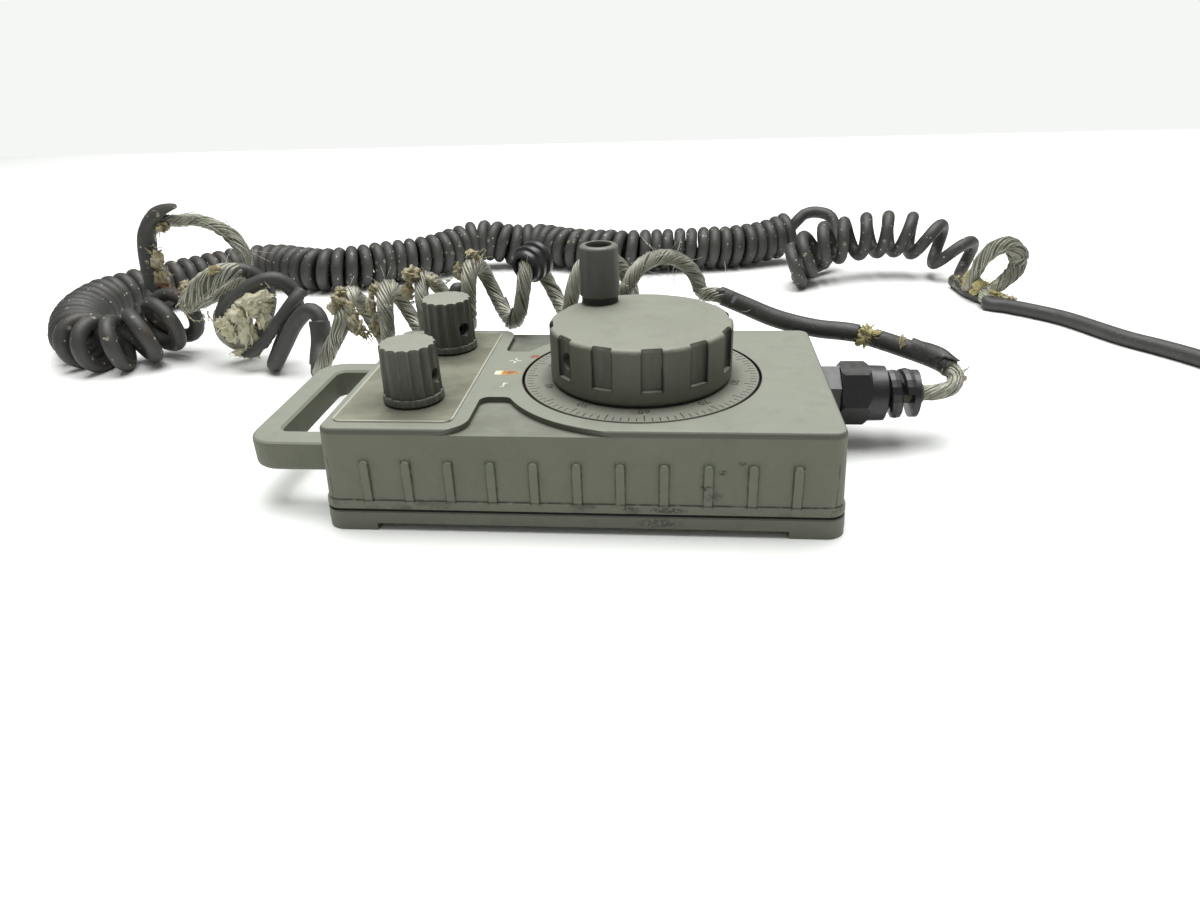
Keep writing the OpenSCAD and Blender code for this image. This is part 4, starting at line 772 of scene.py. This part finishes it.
# The cover's walls take a still darker copy of its grey: painted shade.
paint, tone, (x, y, z), grain = moulded("cover_plastic", BODY_GREY, (0.118, 0.125, 0.092), 1.2, seed=70)
tone = paint.layers(
    tone,
    (spot(x, z, (21, 4.4), (6, 1.6)) * paint.noise(1.3, 4, shift=7).over(0.5, 0.1) * 0.7, (0.03, 0.03, 0.024)),
    (z.within(6.4, 0.25, 0.2) * 0.7, (0.03, 0.03, 0.024)))
dress("bottom_cover", paint.finish(tone, 0.5, normal=paint.bump(grain, 0.1), gloss=0.4))


def plain(name, dark, light, rough, metal=0.0, size=2.0, line=(1.0, 1.0, 1.0), depth=0.05):
    """Two shades of one colour in a cloudy or, stretched along an axis, a brushed pattern."""
    paint = Paint(name)
    place = paint.scaled(line)
    cloud = paint.noise(size, 4, at=place)
    tone = paint.mix(paint.specks(2.6, 0.2, 0.15) * 0.4, paint.mix(cloud, dark, light), tuple(0.5 * c for c in dark))
    return paint.finish(tone, cloud * 0.2 + (rough - 0.1), metal, paint.bump(cloud, depth))


dress("cover_gasket", plain("gasket_rubber", (0.008, 0.008, 0.008), (0.018, 0.018, 0.017), 0.8))
steel = plain("steel", (0.34, 0.34, 0.32), (0.55, 0.55, 0.52), 0.35, 1.0, 0.6, (0.3, 1.0, 1.0))
black_steel = plain("black_steel", (0.012, 0.012, 0.012), (0.035, 0.033, 0.03), 0.4, 0.6)
black_plastic = plain("black_plastic", (0.018, 0.019, 0.019), (0.034, 0.035, 0.035), 0.45)
for node in ("cover_screws", "switch_washers", "switch_nuts", "encoder_screws", "bearing_upper", "bearing_lower",
             "click_ball", "click_spring", "encoder_shaft", "dial_screws", "grip_screw", "axis_switch_shaft",
             "scale_switch_shaft", "plug_screws", "plug_clamp", "code_disc"):
    dress(node, steel)
for node in ("axis_switch_body", "scale_switch_body", "encoder_housing", "encoder_cap", "optical_sensor",
             "gland_seal"):
    dress(node, black_plastic)
for node in ("wheel_set_screw", "axis_set_screw", "scale_set_screw"):
    dress(node, black_steel)
dress("gland_locknut", plain("locknut_plastic", (0.02, 0.021, 0.021), (0.04, 0.042, 0.042), 0.45))
dress("terminal_block", plain("terminal_plastic", (0.02, 0.055, 0.12), (0.03, 0.075, 0.16), 0.4))
dress("click_wheel", plain("brass", (0.42, 0.28, 0.09), (0.6, 0.42, 0.16), 0.3, 1.0, 0.6, (0.3, 1.0, 1.0)))
dress("plug_pins", plain("gilt_pins", (0.62, 0.42, 0.14), (0.75, 0.54, 0.22), 0.25, 1.0))
for node in ("encoder_board", "wiring_board"):
    paint = Paint(node)
    x, y, z = paint.xyz
    tracks = (x * 1.9).maths("SINE").over(0.72, 0.1) + (y * 1.7).maths("SINE").over(0.8, 0.1)
    copper = tracks.maths("MINIMUM", 1.0) * paint.noise(9, 1).over(0.45, 0.05)
    tone = paint.mix(copper, (0.012, 0.085, 0.035), (0.03, 0.14, 0.06))
    dress(node, paint.finish(tone, 0.3, normal=paint.bump(tracks, 0.03)))

# --- Legend plate -------------------------------------------------------------------------------------
# Brushed foil stuck beside the knobs. Its print has worn away; handling has stained it round the knobs.
KNOBS_AT = [(-57.32, -23.7), (-57.32, 23.7)]
paint = Paint("legend_plate")
x, y, z = paint.xyz
brushed = paint.noise(0.35, 3, at=paint.scaled((0.035, 1.0, 1.0)))
tone = paint.mix(brushed, (0.235, 0.235, 0.18), (0.335, 0.335, 0.262))
near = [ring_distance(x, y, *at) for at in KNOBS_AT]
stain = (1 - near[0].over(16, 12)) + (1 - near[1].over(15, 10))
tone = paint.layers(
    tone,
    (stain.maths("MINIMUM", 1.0) * paint.noise(6, 4, shift=4).over(0.42, 0.4) * 0.6, (0.09, 0.09, 0.068)),
    (paint.noise(13, 4, shift=33).over(0.56, 0.25) * 0.5, (0.14, 0.135, 0.1)))
rim = x.within(-59.8, 18.2, 0.5) * y.within(0, 40.4, 0.5)
tone = paint.layers(
    tone,
    ((1 - rim) * 0.8, (0.62, 0.61, 0.53)),
    (paint.specks(5.5, 0.3, 0.25) * 0.8, (0.04, 0.035, 0.03)))
dress("legend_plate", paint.finish(tone, brushed * 0.15 + 0.38, 0.55, paint.bump(brushed, 0.03)))

# --- Dial ---------------------------------------------------------------------------------------------
# Ring with a hundred engraved divisions and a number at every tenth, worn down to grey. Painted shade darkens
# its walls and its rim at the groove, a painted shadow lies round the foot of the wheel, and a little rust under it.
TICK, ZERO = math.radians(3.6), math.radians(58)
LONG_FROM, SHORT_FROM, TICKS_TO, TICK_HALF = 0.0347, 0.0362, 0.0384, 0.00016
NUMBERS_AT = 31.4
DIAL_Z = 0.034
# Its walls take a darker copy of its grey: painted shade.
paint, tone, (x, y, z), grain = moulded("dial_plastic", (0.226, 0.236, 0.192), (0.05, 0.05, 0.04), 0.8, seed=90)
out = ring_distance(x, y, DIAL_AT, 0)
# Painted shade at the rim by the groove, a painted shadow round the foot of the wheel, and a rust stain.
tone = paint.layers(
    tone,
    (out.over(38.9, 0.4), (0.022, 0.016, 0.012)),
    ((1 - out.over(32, 4)) * 0.6, (0.07, 0.07, 0.055)),
    (spot(x, y, (14, -32), (2.4, 1.4)) * paint.noise(1.5, 3, shift=8).over(0.5, 0.2) * 0.7, (0.13, 0.05, 0.025)))
dress("dial_ring", paint.finish(tone, 0.5, normal=paint.bump(grain, 0.08), gloss=0.4))


def upright_box(flat, proud):
    """Flat prisms from their corners in plan: sunk 0.1 mm into the dial's level and standing proud of it."""
    levels = (DIAL_Z - 0.0001, DIAL_Z + proud)
    return np.stack([np.concatenate([flat, np.full_like(flat[..., :1], z)], axis=-1) for z in levels], axis=1)


k = np.arange(100)
angle = ZERO + k * TICK
inner = np.where(k % 5 == 0, LONG_FROM, SHORT_FROM)
radial, along_rim = np.stack([np.cos(angle), np.sin(angle)], 1), np.stack([-np.sin(angle), np.cos(angle)], 1)
centre = np.array([DIAL_AT / 1000, 0])
near_end, far_end = centre + inner[:, None] * radial, centre + TICKS_TO * radial
across_tick = TICK_HALF * along_rim
corners = np.stack([near_end - across_tick, far_end - across_tick, far_end + across_tick, near_end + across_tick], 1)
ticks = grid_mesh("dial_divisions", upright_box(corners, 0.00004), smooth=False)
paint = Paint("dial_print")
tone = paint.mix(paint.noise(5, 3).over(0.5, 0.3), (0.012, 0.012, 0.01), (0.045, 0.046, 0.036))
print_paint = paint.finish(tone, 0.6)
ticks.data.materials.append(print_paint)
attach(ticks, "wheel")


def letters(name, words, size, material):
    """One mesh of printed words; each comes with its place in millimetres and its turn, and is centred."""
    points, loops, sizes, used = [], [], [], 0
    for text, (px, py, pz), turned in words:
        curve = bpy.data.curves.new(name, "FONT")
        curve.body, curve.size, curve.extrude = text, size, 0.00004
        curve.align_x, curve.align_y = "CENTER", "CENTER"
        curve.resolution_u = 4
        holder = bpy.data.objects.new(name, curve)
        scene.collection.objects.link(holder)
        bpy.context.view_layer.update()
        mesh = bpy.data.meshes.new_from_object(holder.evaluated_get(bpy.context.evaluated_depsgraph_get()))
        mesh.transform(Matrix.Translation((px / 1000, py / 1000, pz / 1000)) @ Matrix.Rotation(turned, 4, "Z"))
        points.append(np.empty(3 * len(mesh.vertices), np.float32))
        loops.append(np.empty(len(mesh.loops), np.int32))
        sizes.append(np.empty(len(mesh.polygons), np.int32))
        mesh.vertices.foreach_get("co", points[-1])
        mesh.loops.foreach_get("vertex_index", loops[-1])
        mesh.polygons.foreach_get("loop_total", sizes[-1])
        loops[-1] += used
        used += len(mesh.vertices)
        bpy.data.objects.remove(holder)
    piece = build(name, np.concatenate(points).reshape(-1, 3), np.concatenate(loops), np.concatenate(sizes))
    piece.data.materials.append(material)
    return piece


numbers = []
for value in range(0, 100, 10):
    a = ZERO + value * TICK
    place = (DIAL_AT + NUMBERS_AT * math.cos(a), NUMBERS_AT * math.sin(a), 34.0)
    numbers.append((str(value), place, a - math.pi / 2))
marks = letters("dial_numbers", numbers, 0.004, print_paint)
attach(marks, "wheel")

# --- Signs beside the dial ----------------------------------------------------------------------------
# A plus and a minus in pale, partly worn print, and between them the index triangle, its paint gone cream and rusty.
paint = Paint("sign_print")
pale = paint.finish(paint.mix(paint.noise(1.2, 3).over(0.5, 0.3), (0.66, 0.68, 0.58), (0.36, 0.37, 0.31)), 0.6)
bars = [((-33.2, -29.0), (11.1, 11.8)), ((-31.45, -30.75), (9.2, 13.7)), ((-31.5, -30.75), (-12.7, -9.0)),
        ((-30.9, -29.9), (-9.6, -9.0)), ((-32.2, -31.4), (-12.8, -12.2))]
corners = np.array([[(a, c), (b, c), (b, d), (a, d)] for (a, b), (c, d) in bars]) / 1000
signs = grid_mesh("turn_signs", upright_box(corners, 0.00005), smooth=False)
signs.data.materials.append(pale)
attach(signs, "case")
pointer = [(-36.2, -1.6), (-33, -1.9), (-29.5, -1.5), (-26.9, 0), (-29.5, 1.5), (-33, 1.9), (-36.2, 1.6)]
index = grid_mesh("index_mark", upright_box(np.array([pointer]) / 1000, 0.00005), smooth=False)
paint = Paint("index_paint")
x, y, z = paint.xyz
tone = paint.mix(x.over(-33.9, 0.8), (0.74, 0.7, 0.48), (0.5, 0.19, 0.04))
tone = paint.layers(
    tone,
    (spot(x, y, (-30.8, 0.2), (2.6, 1.3), 0.4) * 0.85, (0.17, 0.085, 0.03)),
    (paint.noise(0.8, 3).over(0.58, 0.15) * 0.5, (0.62, 0.45, 0.18)))
index.data.materials.append(paint.finish(tone, 0.6))
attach(index, "case")

# --- Handwheel and grip -------------------------------------------------------------------------------
# Moulded wheel with twelve shallow pockets; its side is a darker copy of its grey, which is painted shade, and
# painted shade, in streaks, is darkest in the corners of the pockets. The grip is a darker turned part with an open
# top.
# Its side takes a darker copy of its grey: painted shade.
paint, tone, (x, y, z), grain = moulded("wheel_plastic", (0.232, 0.243, 0.196), (0.092, 0.097, 0.07), 1.0, seed=120)
bearing = y.maths("ARCTAN2", x - DIAL_AT) * (180 / math.pi)
arc = (((bearing + 81) / 30 + 100.5).maths("FRACT") - 0.5) * (30 * math.pi / 180 * 30)
wall = ring_distance(x, y, DIAL_AT, 0).over(27.5, 0.5) * z.within(45.5, 6.4, 0.8)
pocket_corner_shade = arc.within(3.3, 0.36, 0.2) + arc.within(-3.3, 0.3, 0.2) * 0.7
streak = paint.noise(2.2, 4, at=paint.scaled((1, 1, 0.25)))
# Painted shade in streaks: dark in the corners of the pockets and over one half of each pocket; then a paler band
# round the top edge.
tone = paint.layers(
    tone,
    (pocket_corner_shade.maths("MINIMUM", 1.0) * wall * streak.over(0.35, 0.3) * 0.85, (0.014, 0.013, 0.011)),
    (arc.within(1.5, 1.7, 1.2) * wall * streak.over(0.48, 0.25) * 0.45, (0.05, 0.05, 0.04)),
    (z.within(52.3, 0.7, 0.4) * streak.over(0.5, 0.3) * 0.5, (0.24, 0.245, 0.2)))
dress("handwheel", paint.finish(tone, streak * 0.2 + 0.42, normal=paint.bump(grain, 0.08), gloss=0.4))

paint = Paint("grip_plastic")
x, y, z = paint.xyz
long_streak = paint.noise(1.8, 4, at=paint.scaled((1, 1, 0.15)))
tone = paint.mix(long_streak, (0.036, 0.038, 0.032), (0.075, 0.078, 0.065))
tone = paint.layers(
    tone,
    (z.over(72.3, 0.5) * 0.8, (0.16, 0.165, 0.14)),
    (paint.specks(3, 0.2, 0.3) * 0.5, (0.3, 0.3, 0.24)))
dress("spinner_grip", paint.finish(tone, long_streak * 0.2 + 0.32, normal=paint.bump(paint.noise(0.5, 2), 0.05)))
dress("grip_washer", plain("washer_rubber", (0.006, 0.006, 0.006), (0.014, 0.014, 0.014), 0.6))

# --- Selector knobs -----------------------------------------------------------------------------------
# Two fluted knobs, pale on top; their walls take a darker copy of their grey, which is painted shade, and they are
# darker still in the flutes and towards the bottom.
for node, (knob_x, knob_y) in zip(("axis_knob", "scale_knob"), KNOBS_AT):
    # The knobs' walls take a darker copy of their grey: painted shade.
    paint, tone, (x, y, z), grain = moulded(
        node, (0.262, 0.272, 0.222), (0.088, 0.092, 0.07), 0.9, seed=150 + int(knob_y))
    flow = paint.noise(1.6, 4, at=paint.scaled((1, 1, 0.18)))
    # Darker in the flutes below the top, in streaks, and towards the bottom.
    tone = paint.layers(
        tone,
        ((1 - ring_distance(x, y, knob_x, knob_y).over(8.5, 0.35)) * (1 - z.over(52.4, 0.5)) * 0.5,
         (0.035, 0.036, 0.029)),
        (flow.over(0.55, 0.2) * (1 - z.over(52, 0.8)) * 0.5, (0.04, 0.041, 0.033)),
        ((1 - z.over(37.2, 1.2)) * flow.over(0.45, 0.2) * 0.5, (0.03, 0.03, 0.024)))
    dress(node, paint.finish(tone, flow * 0.2 + 0.36, normal=paint.bump(grain, 0.08), gloss=0.45))

# --- Cable gland --------------------------------------------------------------------------------------
# Black nylon gland with a spiral bend protector; faces that look up are greyed in patches, partly dust and partly
# painted sheen.
paint = Paint("gland_nylon")
facing = paint.upward()
# Painted sheen and dust: grey patches on faces that look up.
pale_patches = facing.over(0.75, 0.5) * paint.noise(4, 3).over(0.35, 0.3) * 0.7
tone = paint.mix(pale_patches, (0.013, 0.013, 0.013), (0.085, 0.088, 0.085))
tone = paint.mix(paint.specks(1.8, 0.2, 0.2) * 0.6, tone, (0.22, 0.21, 0.17))
nylon = paint.finish(tone, paint.noise(3, 2, shift=2) * 0.2 + 0.26, normal=paint.bump(paint.noise(0.6, 2), 0.05))
for node in ("gland_body", "gland_nut", "gland_spiral"):
    dress(node, nylon)

# --- Plug ---------------------------------------------------------------------------------------------
# Grey moulded hood and yellow-chromated shell of the connector at the cable's far end.
# The hood's walls take a slightly darker copy of its grey: painted shade.
paint, tone, _, grain = moulded("hood_plastic", (0.06, 0.063, 0.063), (0.048, 0.05, 0.05), 0.5, seed=180)
dress("plug_hood", paint.finish(tone, 0.5, normal=paint.bump(grain, 0.08)))
paint = Paint("chromated_shell")
film = paint.noise(5, 2)
tone = paint.mix(film, (0.55, 0.4, 0.12), (0.62, 0.5, 0.28))
tone = paint.mix(paint.noise(2.5, 2, shift=12).over(0.55, 0.2) * 0.5, tone, (0.42, 0.3, 0.34))
dress("plug_insert", paint.finish(tone, 0.32, 0.9, paint.bump(film, 0.02)))

# --- Table and light ----------------------------------------------------------------------------------
# A pale table in a white tent: one large soft lamp overhead, the tent's walls seen only as white.
floor = bpy.data.objects.new("table_top", bpy.data.meshes.new("table_top"))
floor.data.from_pydata([(-3, -2, 0), (3, -2, 0), (3, 1.0, 0), (-3, 0.9, 0)], [], [(0, 1, 2, 3)])
scene.collection.objects.link(floor)
paint = Paint("table_top")
tone = paint.mix(paint.noise(300, 1), (0.9, 0.91, 0.89), (0.93, 0.94, 0.92))
floor.data.materials.append(paint.finish(paint.mix(paint.specks(46, 0.8, 0.3) * 0.8, tone, (0.1, 0.09, 0.07)), 0.6))
world = bpy.data.worlds.new("tent")
scene.world = world
world.use_nodes = True
tree = world.node_tree
light_path = tree.nodes.new("ShaderNodeLightPath")
seen = tree.nodes.new("ShaderNodeMath")
seen.operation = "MAXIMUM"
tree.links.new(light_path.outputs["Is Camera Ray"], seen.inputs[0])
tree.links.new(light_path.outputs["Is Transmission Ray"], seen.inputs[1])
level = tree.nodes.new("ShaderNodeMix")
level.inputs[2].default_value = 0.28
level.inputs[3].default_value = 0.93
tree.links.new(seen.outputs[0], level.inputs[0])
tree.nodes["Background"].inputs["Color"].default_value = (0.985, 1.0, 0.975, 1)
tree.links.new(level.outputs[0], tree.nodes["Background"].inputs["Strength"])
lamp = bpy.data.objects.new("tent_lamp", bpy.data.lights.new("tent_lamp", "AREA"))
lamp.data.shape = "DISK"
lamp.data.size = 1.6
lamp.data.energy = 40
lamp.location = (0, 0.35, 1.4)
scene.collection.objects.link(lamp)
